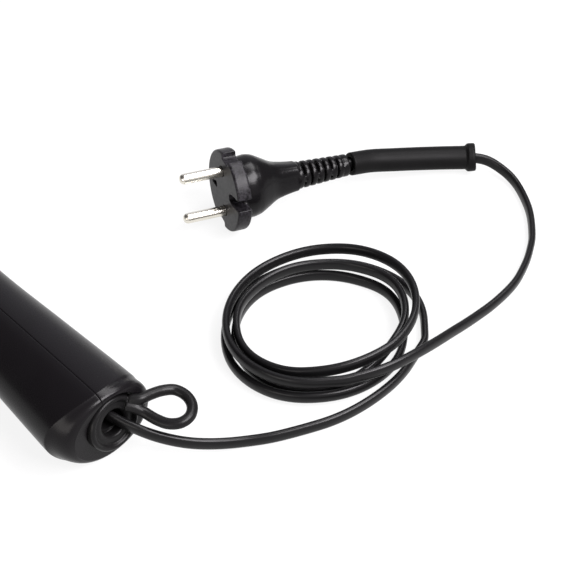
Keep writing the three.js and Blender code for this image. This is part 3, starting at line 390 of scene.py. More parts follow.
def combined(piece, tool, operation):
    """Joins another object to a piece, cuts it out, or keeps what lies inside it, and then deletes it."""
    step = piece.modifiers.new("carve", "BOOLEAN")
    step.operation = operation
    step.solver = "MANIFOLD"
    step.object = tool
    settled(piece)
    bpy.data.objects.remove(tool)


def carved(piece, parts, operation="DIFFERENCE", where=about_axis):
    """Joins, cuts or intersects a piece with closed shapes, one by one."""
    for part in parts:
        combined(piece, shaped("tool", [part], where), operation)
    return piece


def finished(piece, material, stands_for, body="housing", crease=35.0):
    """Gives a piece its material, smooth faces with creases and its body, and hides the parts that it stands
    for.
    """
    piece.data.materials.clear()
    piece.data.materials.append(material)
    piece.data.polygons.foreach_set("use_smooth", np.ones(len(piece.data.polygons), bool))
    edit = bmesh.new()
    edit.from_mesh(piece.data)
    for edge in edit.edges:
        edge.smooth = len(edge.link_faces) != 2 or edge.calc_face_angle(0.0) < math.radians(crease)
    edit.to_mesh(piece.data)
    edit.free()
    even = piece.modifiers.new("even shading", "WEIGHTED_NORMAL")
    even.keep_sharp = True
    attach(piece, body)
    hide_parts(*stands_for)
    return piece


def mottled(cloud, colours, roughness, grain=None, **plain):
    """A recipe for a surface whose colour and roughness change with one cloud, a noise's scale and detail. Its
    grain is a noise's scale and detail and a bump's depth and strength. Other inputs are given by name."""
    def recipe(start):
        pattern = start.noise(*cloud)
        made = {
            "Base Color": start.blend(pattern, *colours),
            "Roughness": roughness[0] + roughness[1] * pattern,
            **plain,
        }
        if grain:
            made["Normal"] = start.bump(start.noise(*grain[:2]), *grain[2:])
        return made

    return recipe


def dressed(names, material):
    """Gives the solids of those names a material."""
    for name in names:
        nodes[name].material_slots[0].material = material


def housing_black(start):
    """Black nylon from a finely eroded mould: a tight grain, slow changes of gloss and a few hair scratches."""
    grain = start.noise(2600.0, 3.0, 0.6)
    cloud = start.noise(45.0, 3.0)
    scratch = start.noise(3.0, 2.0, place=start.stretched((60.0, 900.0, 900.0))).step(0.66, 0.72)
    return {
        "Base Color": start.blend(cloud, (0.003, 0.0026, 0.0031), (0.0046, 0.004, 0.0046)),
        "Roughness": 0.23 + 0.05 * cloud + 0.04 * grain + 0.05 * scratch,
        "IOR": 1.22,
        "Normal": start.bump(grain, 0.000012, 0.5),
    }


HOUSING_LENGTH = (left_box[1].x - left_box[0].x) / MM
HOUSING_STATIONS = [        # x, half width, half height
    (0, 21.7, 17.5), (8, 21.7, 17.5), (50, 19.65, 15.85), (92, 17.6, 14.4),
    (136, 17.5, 17.5), (154, 17.5, 17.5), (172, 17.5, 17.5),
]
END_FACE_MIDDLE = -1.6      # across from the axis
END_FACE_WIDE = 16.7
END_FACE_HIGH = 15.4
CREASE_CONE = 15.1          # radius at the end face of the cone that the chamfer's crease lies on
CHAMFER_SLOPE = 0.68        # radius gained per millimetre of length
CHAMFER_BULGE = 0.1         # height of its swelling, as a share of its chord
RIGHT_BULGE = 0.1           # what it has more on the right
RIM_ROUND = 0.4
SEAM_DEPTH = 0.16
SEAM_SPREAD = 0.2
SEAM_GAP = 0.07             # from the seam to either half
WALL = 2.0
REAR_WALL = 2.5
INNER_CHAMFER = 13.9        # radius of the inner cone at the rear wall
RING_MIDDLE = (-3.3, 2.4)   # across and up from the tool's axis
RING_HOLE = 12.4
station_curve = smooth_path(HOUSING_STATIONS, 24)


def half_sizes(x):
    """The housing's half width and half height at x."""
    return tuple(np.interp(x, station_curve[:, 0], station_curve[:, i]) for i in (1, 2))


def oval_radius(x, angle):
    """The oval's radius at an angle: 1 / sqrt((cos/w)^2 + (sin/h)^2), with its half sizes w and h at x."""
    wide, high = half_sizes(x)
    return 1 / np.sqrt((np.cos(angle) / wide) ** 2 + (np.sin(angle) / high) ** 2)


def end_face_radius(angle):
    """Distance from the axis to the end face's rim, an oval that sits a little to the right of the axis: the
    positive root of ((r cos - middle)/w)^2 + (r sin/h)^2 = 1."""
    c, s = np.cos(angle), np.sin(angle)
    square = (c / END_FACE_WIDE) ** 2 + (s / END_FACE_HIGH) ** 2
    linear = -2 * END_FACE_MIDDLE * c / END_FACE_WIDE**2
    constant = (END_FACE_MIDDLE / END_FACE_WIDE) ** 2 - 1
    return (-linear + np.sqrt(linear**2 - 4 * square * constant)) / (2 * square)


def housing_tube():
    """Both halves in one. Each angle has a closed profile: end face, rounded rim, chamfer, rounded crease, body
    and inner wall. The crease lies where the oval's radius equals that of a cone, CREASE_CONE + slope x. The
    chamfer is straight at the crease and swells towards the rim, by s (1 - s)^2 over its chord, more so on
    the right. A groove of Gaussian section runs along the seam."""
    spread = np.linspace(-np.pi / 2, np.pi / 2, 61)[1:-1]
    beside_seam = np.array([0.0, 0.12, 0.2, 0.3, 0.45, 0.7]) / AXIS_HEIGHT
    near_top = np.concatenate([np.pi / 2 - beside_seam, np.pi / 2 + beside_seam])
    angle = np.unique(np.concatenate([spread, spread + np.pi, near_top, near_top - np.pi]) % (2 * np.pi))

    def profiles(x, radius):
        """A stretch of every profile, from places with one row for each of its steps."""
        return np.stack(np.broadcast_arrays(x, radius), axis=-1).transpose(1, 0, 2)

    crease = (oval_radius(0.0, angle) - CREASE_CONE) / CHAMFER_SLOPE
    crease = (oval_radius(crease, angle) - CREASE_CONE) / CHAMFER_SLOPE
    rim_radius = end_face_radius(angle)
    rise = oval_radius(crease, angle) - rim_radius
    share = np.linspace(0, 1, 12)[:, None]
    bulge = CHAMFER_BULGE + RIGHT_BULGE * np.clip((-np.cos(angle) - 0.3) / 0.4, 0, 1)
    swell = 6.75 * share * (1 - share) ** 2 * bulge
    chamfer = profiles(share * crease - swell * rise, rim_radius + share * rise + swell * crease)
    turn = np.linspace(0, 1, 5)[:, None]
    rim = profiles(RIM_ROUND * turn**2 * chamfer[:, 1, 0], rim_radius - RIM_ROUND * (1 - turn))
    corner = chamfer[:, -1]
    after = np.stack([crease + 0.5, oval_radius(crease + 0.5, angle)], axis=-1)
    rounded = parabolas(corner + (chamfer[:, -2] - corner) * 0.4, corner, after)
    start = crease + 0.9
    body_x = start + (HOUSING_LENGTH - 0.2 - start) * np.linspace(0, 1, 40)[:, None] ** 1.3
    outer = [rim, chamfer[:, 1:-1], rounded, profiles(body_x, oval_radius(body_x, angle))]
    mouth = profiles(HOUSING_LENGTH, oval_radius(HOUSING_LENGTH, angle) - [[0.2], [WALL]])
    inner_x = np.linspace(HOUSING_LENGTH - 1, REAR_WALL, 30)[:, None]
    cone = INNER_CHAMFER + CHAMFER_SLOPE * (inner_x - REAR_WALL)
    inner = profiles(inner_x, np.minimum(oval_radius(inner_x, angle) - WALL, cone))
    profile = np.concatenate([*outer, mouth, inner, profiles([[REAR_WALL], [0.0]], 0 * angle)], axis=1)
    outer_steps = sum(part.shape[1] for part in outer)
    groove = SEAM_DEPTH * np.exp(-((AXIS_HEIGHT * np.cos(angle) / SEAM_SPREAD) ** 2))
    profile[:, :outer_steps, 1] -= groove[:, None]
    x, radius = profile.transpose(2, 1, 0)
    return skin(np.stack([x, radius * np.cos(angle), radius * np.sin(angle)], axis=-1), loop=True)


SWITCH_MIDDLE = 94.0
SWITCH_TRAVEL = 6.0
KNOB_LENGTH = 24.0
KNOB_WIDE = 9.0
STEM_LENGTH = 9.0
STEM_WIDE = 4.6
PAD_SINK = 2.4
PAD_THICK = 2.4
SEAT = 0.3                  # clearance round what sits in a recess
SLOT_PLACES = 102 + 4.6 * np.arange(6)
SLOT_WIDE = 2.2
SLOT_HALF = 6.5
SCREW_PLACES = ((27.0, 0.0), (60.0, 0.0), (92.0, -7.2))      # x, and height from the axis
SCREW_RADIUS = 1.45
SCREW_HEAD = 2.7
BOSS_RADIUS = 3.4
HEAD_INSET = 5.2
HEAT_WALL = (160.0, 161.5, 12.3, 16.5)      # from, to, inner and outer radius
BEAD_AT = 168.6
BEAD_THICK = 1.4
BEAD_GROOVE = (14.6, 16.4)
PAD_HALF_LONG = 17.5
PAD_HALF_WIDE = 6.7
LOW_BOSS_REACH = 0.87       # the housing's half width at the low screw, as a share of that on the axis
CLEAR = 40.0                # far enough to pass the housing's sides
grip_top = float(half_sizes(SWITCH_MIDDLE)[1])
pad_top = grip_top - PAD_SINK
pad_low = pad_top - PAD_THICK
recess_half = (KNOB_LENGTH + SWITCH_TRAVEL) / 2 + SEAT
slot_half = (STEM_LENGTH + SWITCH_TRAVEL) / 2 + SEAT
knob_half = KNOB_WIDE / 2


def switch_slot(half_long, half_wide, low, high, radius=0.9):
    """An upright block with rounded edges round the switch's middle."""
    corners = oblong(SWITCH_MIDDLE - half_long, SWITCH_MIDDLE + half_long, -half_wide, half_wide)
    return carried(eased(corners, radius), low, high)


housing_whole = shaped("housing whole", [housing_tube()])
inside = [block((SWITCH_MIDDLE - PAD_HALF_LONG, -PAD_HALF_WIDE, pad_low),
                (SWITCH_MIDDLE + PAD_HALF_LONG, PAD_HALF_WIDE, grip_top - 1.2))]
openings = [
    rod((-2, *RING_MIDDLE), (REAR_WALL + 0.6, *RING_MIDDLE), RING_HOLE, 96),
    switch_slot(recess_half, knob_half + SEAT, pad_top, grip_top + 3),
    switch_slot(slot_half, STEM_WIDE / 2 + SEAT, pad_low - 2, pad_top + 1, 0.5),
    turned(oblong(BEAD_AT - SEAT, BEAD_AT + BEAD_THICK + SEAT, *BEAD_GROOVE)),
]
for slot_x in SLOT_PLACES:
    slot_corners = oblong(slot_x, slot_x + SLOT_WIDE, -SLOT_HALF, SLOT_HALF)
    openings.append(carried(eased(slot_corners, 1.05), -CLEAR, CLEAR, 1))
for screw_x, screw_up in SCREW_PLACES:
    side = float(half_sizes(screw_x)[0])
    reach = side * (1.0 if screw_up == 0 else LOW_BOSS_REACH) - 1.0
    head_at = (screw_x, -side + HEAD_INSET, screw_up)
    inside.append(rod((screw_x, -reach, screw_up), (screw_x, reach, screw_up), BOSS_RADIUS))
    openings.append(rod(head_at, (screw_x, side - 6, screw_up), SCREW_RADIUS + 0.1))
    openings.append(rod((screw_x, -side - 4, screw_up), np.add(head_at, (0, 0.01, 0)), SCREW_HEAD + SEAT, 40))
inside.append(turned(eased(oblong(*HEAT_WALL), 0.2)))
carved(housing_whole, inside, "UNION")
carved(housing_whole, openings)
black_nylon = finish("black nylon", housing_black)
for half_name, half_side in (("left", 1), ("right", -1)):
    half = added("housing_" + half_name, housing_whole.data.copy())
    low, high = sorted((half_side * SEAM_GAP, half_side * CLEAR))
    carved(half, [block((-5, low, -CLEAR), (HOUSING_LENGTH + 5, high, CLEAR))], "INTERSECT")
    finished(half, black_nylon, ["shell_" + half_name])
bpy.data.objects.remove(housing_whole)


# Housing screws
# Three plated self-tapping screws hold the halves together. Their pan heads sit deep in counterbores on the
# right side, and each has a cross recess.

SCREW_HEAD_HIGH = 1.8
CROSS_DEEP = 1.3
CROSS_ARM = (0.32, 1.5)     # half its width and half its span


def screw(name, head_at, tip_at, where):
    """A pan-head screw along X from head_at to tip_at, with a cross recess, taken to its place by where()."""
    top = head_at - SCREW_HEAD_HIGH
    outline = eased([
        [top, 0.0], [top, SCREW_HEAD * 0.86], [head_at - 0.9, SCREW_HEAD], [head_at, SCREW_HEAD],
        [head_at, SCREW_RADIUS], [tip_at - 1.6, SCREW_RADIUS], [tip_at, 0.2], [tip_at, 0.0],
    ], (0, 0.7, 0.4, 0.1, 0.1, 0.2, 0.1, 0), 4)
    arms = [block((top - 7.2, -y, -z), (top + CROSS_DEEP, y, z)) for y, z in (CROSS_ARM, CROSS_ARM[::-1])]
    return carved(shaped(name, [turned(outline, 48)], where), arms, where=where)


screw_finish = finish("plated screw steel", mottled(
    (500.0, 3.0), ((0.36, 0.36, 0.35), (0.52, 0.51, 0.49)), (0.28, 0.14), (4000.0, 2.0, 0.00001, 0.4),
    Metallic=1.0,
))
for number, (screw_x, screw_up) in enumerate(SCREW_PLACES, 1):
    side = float(half_sizes(screw_x)[0])

    def across(points, x=screw_x, up=screw_up):
        """Turns a screw from the X axis to the Y axis and takes it to its boss."""
        return about_axis(rotated(points, 0, 1, math.pi / 2) + [x, 0.0, up])

    made = screw(f"screw_housing_{number}", -side + HEAD_INSET - SEAT, side - 6 - SEAT, across)
    finished(made, screw_finish, [f"housing_screw_{number}"])
dressed(["clamp_screw_1", "clamp_screw_2"], screw_finish)


# Rear ring and hanging loop
# One moulding of soft black rubber in the round hole of the end face: a rolled rim that leans upwards, a funnel
# down to the deep recess that the flex comes out of, and a round loop that rises from the rim's right side.

RING_RADIUS = 11.4
RING_LEAN = math.radians(12)
RING_TURN = math.radians(6)
HEAD_SHIFT = (0.6, 0.7, -1.0)   # how far its head sits from the middle of its hole
RECESS_RADIUS = 6.9
MOUTH_RADIUS = 5.4
RECESS_DEPTH = 9.0
RING_FLANGE = 14.6
LOOP_RADIUS = 2.2
LOOP_POINTS = [             # along, across and up from the tool's axis
    (0.3, -9.4, 5.4), (-2.2, -11.6, 4.4), (-5.4, -13.6, 2.7), (-10.5, -15.0, 2.0), (-15.2, -17.0, 1.9),
    (-18.3, -20.6, 2.1), (-18.4, -25.0, 2.2), (-15.2, -28.8, 2.2), (-10.2, -30.2, 2.5), (-5.4, -28.6, 3.2),
    (-3.2, -24.4, 4.4), (-2.4, -19.4, 5.7), (-2.0, -14.8, 6.6), (0.6, -11.8, 6.8),
]


def square_to(along, outline, up=(0.0, 0.0, 1.0)):
    """An outline of [level, upright] points about each of the directions: one of its axes lies level and square
    to the direction, and the other stands up from both."""
    along = unit(along)
    level = unit(np.cross(along, up))
    return outline[:, :1] * level[:, None] + outline[:, 1:] * np.cross(level, along)[:, None]


def swept(path, outline, up=(0.0, 0.0, 1.0)):
    """A closed shape: an outline carried along a path, square to it."""
    return skin(path[:, None] + square_to(np.gradient(path, axis=0), outline, up))


def moulded(piece, voxel, passes):
    """Makes one even skin of a piece, in steps of voxel millimetres, and softens its edges."""
    remesh = piece.modifiers.new("mould", "REMESH")
    remesh.mode = "VOXEL"
    remesh.voxel_size = voxel * MM
    soften = piece.modifiers.new("soften", "SMOOTH")
    soften.factor = 0.5
    soften.iterations = passes
    settled(piece)


def about_ring(points):
    """Takes a shape on the X axis to the ring's middle."""
    return about_axis(np.asarray(points, float) + [0.0, *RING_MIDDLE])


def leaning(points):
    """Takes a shape on the X axis to the ring's head: leans it so that its face looks up, turns it a little to
    the left, and shifts it."""
    return about_ring(rotated(rotated(points, 0, 2, -RING_LEAN), 0, 1, RING_TURN) + HEAD_SHIFT)


head_profile = eased([
    [5.0, RECESS_RADIUS + 0.1], [5.0, RING_RADIUS], [0.2, RING_RADIUS], [-2.1, RING_RADIUS],
    [-2.9, RING_RADIUS - 1.1], [-2.3, RING_RADIUS - 2.2], [-1.2, RING_RADIUS - 2.7], [-1.5, RING_RADIUS - 3.3],
    [-1.7, MOUTH_RADIUS + 1.5], [-1.3, MOUTH_RADIUS + 0.3], [-0.2, MOUTH_RADIUS], [2.4, MOUTH_RADIUS + 0.6],
], (0, 0, 0.5, 1.2, 0.9, 0.7, 0.35, 0.5, 0.8, 0.6, 0.8, 0.4), 6)
flange_profile = eased([
    [2.8, RECESS_RADIUS], [2.8, RING_FLANGE], [5.2, RING_FLANGE], [5.2, RECESS_RADIUS + 1.6],
    [11.0, RECESS_RADIUS + 1.6], [11.0, 0.0], [RECESS_DEPTH, 0.0], [RECESS_DEPTH, RECESS_RADIUS],
], (0.2, 0.3, 0.3, 0.3, 0.4, 0, 0, 0.6), 4)
soft_rubber = mottled(      # with a waxy bloom, whose gloss comes and goes
    (170.0, 3.0), ((0.0034, 0.0033, 0.0034), (0.007, 0.0067, 0.007)), (0.27, 0.14),
    (3200.0, 2.0, 0.00001, 0.5), IOR=1.22,
)
ring = shaped("rear_ring", [turned(head_profile, 120)], leaning)
carved(ring, [block((3.04, -20, -20), (30, 20, 20))], where=about_ring)
carved(ring, [turned(flange_profile)], "UNION", about_ring)
loop_bar = shaped("loop", [swept(smooth_path(LOOP_POINTS, 8), circle(LOOP_RADIUS, 28))])
carved(loop_bar, [rod((-6, 0, 0), (RECESS_DEPTH - 0.5, 0, 0), MOUTH_RADIUS + 0.1, 64)], where=leaning)
combined(ring, loop_bar, "UNION")
moulded(ring, 0.3, 5)
finished(ring, finish("soft black rubber", soft_rubber), ["hanging_ring"], crease=180.0)


# Mains flex
# A flat black PVC twin flex, 3.2 by 5.4 mm, that lies on its edge. It comes out of the ring's recess, lies in a
# coil of 3 3/4 turns, two and three layers high, and goes on through a loose rubber sleeve to the plug.

def flex_sheath(start):
    """Extruded PVC: faint lines along the flex from its u, v map, slow changes of gloss, and specks of dust."""
    uv = start.node("ShaderNodeUVMap", {"uv_map": "along"})
    draw = start.noise(1.0, 3.0, place=start.stretched((30.0, 60.0, 1.0), uv))
    cloud = start.noise(90.0, 2.0)
    dust = start.noise(1500.0, 1.0).step(0.70, 0.76)
    return {
        "Base Color": start.blend(0.5 * draw + 0.3 * dust, (0.0026, 0.0025, 0.0027), (0.008, 0.0079, 0.0083)),
        "Roughness": 0.24 + 0.08 * cloud + 0.05 * draw,
        "IOR": 1.25,
        "Normal": start.bump(draw, 0.00003, 0.4),
    }


CORD_THICK = 3.2
CORD_HIGH = 5.4
CORD_BASE = 2.9
COIL_MIDDLE = np.array([-10.0, -104.0])
COIL_START = 225.9          # degrees from +X where the count of turns starts
COIL_ROWS = np.column_stack([       # turns, radius, height above the lowest turn
    np.insert(np.round(np.arange(46) / 12, 4), 1, 0.04),
    [43.4, 44.2, 43.9, 40.2, 37, 36.5, 38.3, 40.7, 43, 42.7, 40.1, 37.5, 35.8, 34.6, 34.3, 31.6, 30.2,
     31, 33.7, 36.4, 38.3, 38.3, 35.8, 32.8, 32.2, 34.8, 35.7, 32.7, 30.2, 30.2, 32.1, 35.5, 37.3, 36,
     33.5, 33.3, 35.8, 38.9, 40.7, 40.5, 38.8, 37.5, 38.2, 40.1, 41.7, 40.8, 38.2],
    [0, 0, 0, 0, 0, 0, 0, 0, 0.2, 1.3, 2.2, 1.5, 0.1, 0.5, 0.9, 0, 0, 0, 0.3, 0.3, 0, 0, 0.7, 3.1, 6.2,
     7.8, 7.8, 6.8, 6.7, 7, 7, 7.4, 6.7, 8, 10.1, 11.5, 12.1, 12.5, 11.9, 9.5, 7.5, 6.8, 6.8, 7, 8.1,
     8.6, 8.8],
])
COIL_END = 5.4              # straight end of the coil
COIL_LEAD = 2.5             # straight lead of the free flex at it
FLEX_HOLE = (8.4, -2.6, 19.6)
TOOL_ROUTE = [
    FLEX_HOLE, (6.6, -2.8, 19.6), (3.2, -4.2, 18.5), (-0.8, -5.8, 17.1), (-6.1, -8.2, 15.9),
    (-11, -11.4, 13.9), (-16, -16.4, 10.7), (-20.6, -22.1, 7.7), (-24.8, -28.4, 5.3), (-28.9, -34.8, 3.8),
    (-33, -41.4, 3), (-37.3, -48, 2.9), (-41.1, -55.2, 2.9), (-44.6, -62.6, 2.9), (-47.9, -70.4, 2.9),
    (-50.4, -79.1, 2.9), (-51.8, -88, 2.9), (-52.3, -96.2, 2.9), (-52, -104.6, 2.9), (-50.7, -112.4, 2.9),
    (-48.7, -119.3, 2.9),
]
PLUG_ROUTE = [
    (-45, -88.8, 12), (-47.6, -94.1, 12.2), (-49.8, -99.9, 12.2), (-51.4, -106.5, 12),
    (-52.2, -112.8, 11.4), (-52.7, -119.7, 10.4), (-52.8, -128.5, 8.6), (-52.6, -137.9, 6.6),
    (-52.6, -147.3, 4.8), (-52.5, -156.4, 3.4), (-52.6, -165.1, 2.9), (-51.9, -177.6, 2.9),
    (-50.6, -185, 2.9), (-48.4, -191.7, 2.9), (-45.9, -198.2, 2.9), (-42.8, -204.3, 2.9),
    (-39.4, -210.3, 2.9), (-35.3, -215.6, 2.9), (-30.8, -220.8, 2.9), (-25.8, -225.7, 2.9),
    (-20.2, -230, 2.9), (-14.1, -234, 2.9), (-9.2, -236.3, 3.4), (-4.1, -237.4, 4.3), (2.5, -237.3, 5.6),
    (7.8, -235.7, 7.1), (12.6, -232.2, 7.9), (15.5, -229.5, 7.9), (23.7, -219.7, 8.3), (32.1, -207.9, 9.5),
    (37.8, -199.1, 10.6), (43.2, -190.1, 11.9),
]
PLUG_FACE = np.array([69.0, -119.35, 19.7])
PLUG_YAW = math.radians(69.7)
PLUG_PITCH = math.radians(5.0)
PLUG_ROLL = math.radians(18.3)
RELIEF_END = 62.3


def coil_column(turns, column):
    """A cubic through the coil's rows, whose slope at a row is that of the line between its two neighbours."""
    rows = COIL_ROWS
    last = len(rows) - 1
    ahead = rows[np.minimum(np.arange(last + 1) + 1, last)]
    behind = rows[np.maximum(np.arange(last + 1) - 1, 0)]
    slope = (ahead[:, column] - behind[:, column]) / (ahead[:, 0] - behind[:, 0])
    i = np.clip(np.searchsorted(rows[:, 0], turns, side="left") - 1, 0, last - 1)
    span = rows[i + 1, 0] - rows[i, 0]
    t = (turns - rows[i, 0]) / span
    ease = 3 * t**2 - 2 * t**3
    plain = rows[i, column] * (1 - ease) + rows[i + 1, column] * ease
    return plain + slope[i] * span * (t**3 - 2 * t**2 + t) + slope[i + 1] * span * (t**3 - t**2)


def coil_point(turns):
    """The flex's middle after so many turns of the coil."""
    angle = math.radians(COIL_START) + 2 * np.pi * turns
    radius = coil_column(turns, 1)
    return np.stack([
        COIL_MIDDLE[0] + radius * np.cos(angle), COIL_MIDDLE[1] + radius * np.sin(angle),
        CORD_BASE + coil_column(turns, 2),
    ], axis=-1)


def plug_place(points):
    """Points from the plug's own frame, with the middle of its face at the origin and the pins along +X: turned
    by the roll about X, lifted by the pitch, turned by the yaw about Z, and moved to the plug's face."""
    rolled = rotated(points, 1, 2, PLUG_ROLL)
    return rotated(rotated(rolled, 0, 2, PLUG_PITCH), 0, 1, PLUG_YAW) + PLUG_FACE


def plug_tail(back):
    """The point on the plug's axis that lies so far behind its face."""
    return plug_place([-back, 0.0, 0.0])


def flex_path():
    """The middle of the flex: the route to the coil, the coil's turns as radius and height over the angle, and
    the route to the plug's relief, with short straight stretches at both ends of the coil."""
    end = COIL_ROWS[-1, 0]
    coil = coil_point(np.linspace(0, end, 451))
    near = coil_point(np.array([0.0, 0.01, end - 0.01, end])) * [1, 1, 0]
    inward, outward = unit(near[1] - near[0]), unit(near[3] - near[2])
    inlet, outlet = coil[0] - inward * COIL_END, coil[-1] + outward * COIL_END
    before = smooth_path([*TOOL_ROUTE, inlet - COIL_LEAD * inward, inlet], 12)
    tail = [plug_tail(RELIEF_END + behind) for behind in (4, -2, -5.7)]
    after = smooth_path([outlet, outlet + COIL_LEAD * outward, *PLUG_ROUTE, *tail], 12)
    return np.vstack([before, coil, after])


def distances(path):
    """How far along a path each of its points lies."""
    return np.concatenate([[0.0], np.cumsum(np.linalg.norm(np.diff(path, axis=0), axis=1))])


def on_path(path, run, places):
    """Points on a path at such distances along it. Its own points lie at the distances in run."""
    return np.stack([np.interp(places, run, path[:, i]) for i in range(3)], axis=-1)


def evenly(path, step):
    """The same path with its points a fixed distance apart, as near as its length allows."""
    run = distances(path)
    return on_path(path, run, np.linspace(0, run[-1], max(2, round(run[-1] / step))))


def smoothed(path, passes):
    """Eases what corners a path has left: each inner point moves halfway to the middle of its neighbours."""
    path = path.copy()
    for _ in range(passes):
        path[1:-1] = 0.5 * path[1:-1] + 0.25 * (path[:-2] + path[2:])
    return path


def flat_section(thick, high, sides=28, fullness=2.5):
    """An oval with flattened sides: |level/a|^n + |upright/b|^n = 1, where n is 2 for a plain oval."""
    c, s = circle(1.0, sides).T
    size = (np.abs(c) ** fullness + np.abs(s) ** fullness) ** (-1 / fullness)
    return np.stack([thick / 2 * size * c, high / 2 * size * s], axis=-1)


FLEX_SIDES = 28
flex_line = smoothed(evenly(flex_path(), 1.5), 3)
flex_run = distances(flex_line)
flex = shaped("mains_flex", [swept(flex_line, flat_section(CORD_THICK, CORD_HIGH, FLEX_SIDES))], placed)
corner_points = np.zeros(len(flex.data.loops), int)
flex.data.loops.foreach_get("vertex_index", corner_points)
row = np.minimum(corner_points // FLEX_SIDES, len(flex_run) - 1)
uv = np.stack([flex_run[row] * MM, (corner_points % FLEX_SIDES) / FLEX_SIDES], axis=-1)
flex.data.uv_layers.new(name="along").data.foreach_set("uv", uv.astype(np.float32).ravel())
flex_nodes = ["cord_tool_side", "cord_coil", "cord_plug_side"]
finished(flex, finish("black flex sheath", flex_sheath), flex_nodes)
dressed(["cord_inner_end"], finish("black flex sheath inside", soft_rubber))


# Cord sleeve
# A loose tube of thick black rubber that slides on the flex and has run up against the plug. Its far end has a
# round collar.

SLEEVE_OUTER = 5.5
SLEEVE_INNER = 3.5
COLLAR_OUTER = 6.9
COLLAR_THICK = 4.0
SLEEVE_RAISE = 0.2          # how far it rides above the flex's line
SLEEVE_LIFT = 0.5           # how much higher still its collar lies
SLEEVE_TAPER = 0.2
SLEEVE_ROWS = 44
sleeve_points = np.array([plug_tail(RELIEF_END + 2.0), *PLUG_ROUTE[:-7:-1]])
sleeve_points[1:, 2] += SLEEVE_RAISE
sleeve_points[-1, 2] += SLEEVE_LIFT
sleeve_line = evenly(smooth_path(sleeve_points, 12), 0.5)
sleeve_end = distances(sleeve_line)[-1]
collar_from = sleeve_end - COLLAR_THICK
sleeve_ends = eased([
    [0, SLEEVE_INNER], [0, SLEEVE_OUTER], [collar_from - 1.0, SLEEVE_OUTER + SLEEVE_TAPER],
    [collar_from, COLLAR_OUTER], [sleeve_end, COLLAR_OUTER - 0.2], [sleeve_end, SLEEVE_INNER],
], (0.5, 0.8, 0.6, 0.9, 1.1, 0.5), 7)
between = np.linspace(3, collar_from - 4, SLEEVE_ROWS)
outer_rows = np.column_stack([between, SLEEVE_OUTER + SLEEVE_TAPER * between / sleeve_end])
inner_rows = np.column_stack([between[::-1], np.full(SLEEVE_ROWS, SLEEVE_INNER)])
sleeve_profile = np.vstack([sleeve_ends[:14], outer_rows, sleeve_ends[14:], inner_rows])


def around(path, run, profile, sides):
    """A closed shape: a closed [distance along, radius] profile carried round a curved line."""
    place, radius = profile.T
    along = on_path(path, run, place + 0.5) - on_path(path, run, place - 0.5)
    spokes = square_to(along, circle(1.0, sides)) * radius[:, None, None]
    return skin(on_path(path, run, place)[:, None] + spokes, loop=True)


dull_rubber = mottled(      # darker and duller than the flex
    (120.0, 3.0), ((0.0026, 0.0025, 0.0026), (0.0048, 0.0047, 0.0048)), (0.42, 0.12),
    (2500.0, 3.0, 0.00002, 0.6), IOR=1.15,
)
sleeve_run = np.linspace(0, sleeve_end, len(sleeve_line))
sleeve = shaped("flex_sleeve", [around(sleeve_line, sleeve_run, sleeve_profile, 48)], placed)
finished(sleeve, finish("dull black rubber", dull_rubber), ["cord_sleeve"])


# Plug
# A round two-pin contour plug, moulded on the flex: a thick notched disc, a swelling grip that narrows to a
# neck, and a relief of eight rings joined by webs that lets the flex bend. Its two solid pins are plated brass.

def plug_black(start):
    """Black PVC from an eroded mould. The disc is coarser than the grip, with a speckled gloss."""
    grain = start.noise(1500.0, 3.0, 0.6)
    cloud = start.noise(110.0, 3.0)
    on_disc = start.node("ShaderNodeAttribute", {"attribute_name": "disc"}, output=2)
    speck = start.noise(900.0, 3.0, 0.7).step(0.4, 0.62)
    disc_colour = start.blend(speck, (0.003, 0.0028, 0.0032), (0.019, 0.0175, 0.0205))
    grip_colour = start.blend(cloud, (0.0026, 0.0024, 0.0027), (0.0046, 0.0043, 0.0047))
    return {
        "Base Color": start.blend(on_disc, grip_colour, disc_colour),
        "Roughness": 0.2 + 0.06 * cloud + on_disc * (0.08 + 0.14 * speck),
        "IOR": 1.22,
        "Normal": start.bump(grain, 0.00002, 0.3 + 0.5 * on_disc),
    }


DISC_RADIUS = 19.0
DISC_THICK = 6.8
PIN_RADIUS = 2.4
PIN_LENGTH = 19.9
PIN_PITCH = 19.0
PIN_ROOT = 3.0
NOTCH_ANGLES = (18, 198)    # rim notches, from the upper pin
NOTCH_DEPTH = 3.0
NOTCH_WIDE = 6.6
EARTH_ANGLE = 94            # deep notch for a socket's earth pin, and a pocket across from it
EARTH_FROM = 7.3
EARTH_WIDE = 5.0
POCKET = (8.2, 13.6)        # where it starts and ends, from the middle
POCKET_DEPTH = 4.0
BULB_PROFILE = [            # distance behind the face, half height
    (5.4, 13.9), (6.4, 14.1), (10, 14.7), (12.5, 14.8), (15, 14.2), (17, 13.2), (19, 12.0),
    (20.7, 11.0), (22.5, 9.9), (25, 8.7), (28.5, 7.8), (32.3, 7.1), (34.6, 6.8), (36, 6.7),
]
BULB_FLAT = 0.86            # its width as a share of its height
RELIEF_FROM = 34.6
RELIEF_RIBS = 8
RELIEF_ROOT = 6.5
RELIEF_TIP = 5.3
RELIEF_CORE = 3.7
RIB_SHARE = 0.66            # of the ribs' pitch
LAST_RIB_SHARE = 0.85
WEB_THICK = 2.6


def in_metres(points):
    """A plug shape in its own frame, in metres, where its remeshing is done."""
    return np.asarray(points, float) * MM


def spun(part, angle):
    """A closed shape turned about the X axis."""
    points, *faces = part
    return rotated(points, 1, 2, angle), *faces


def mirrored(right):
    """A closed outline across and up the disc's face, from its right half listed upwards."""
    return [*right, *((-across, up) for across, up in reversed(right))]


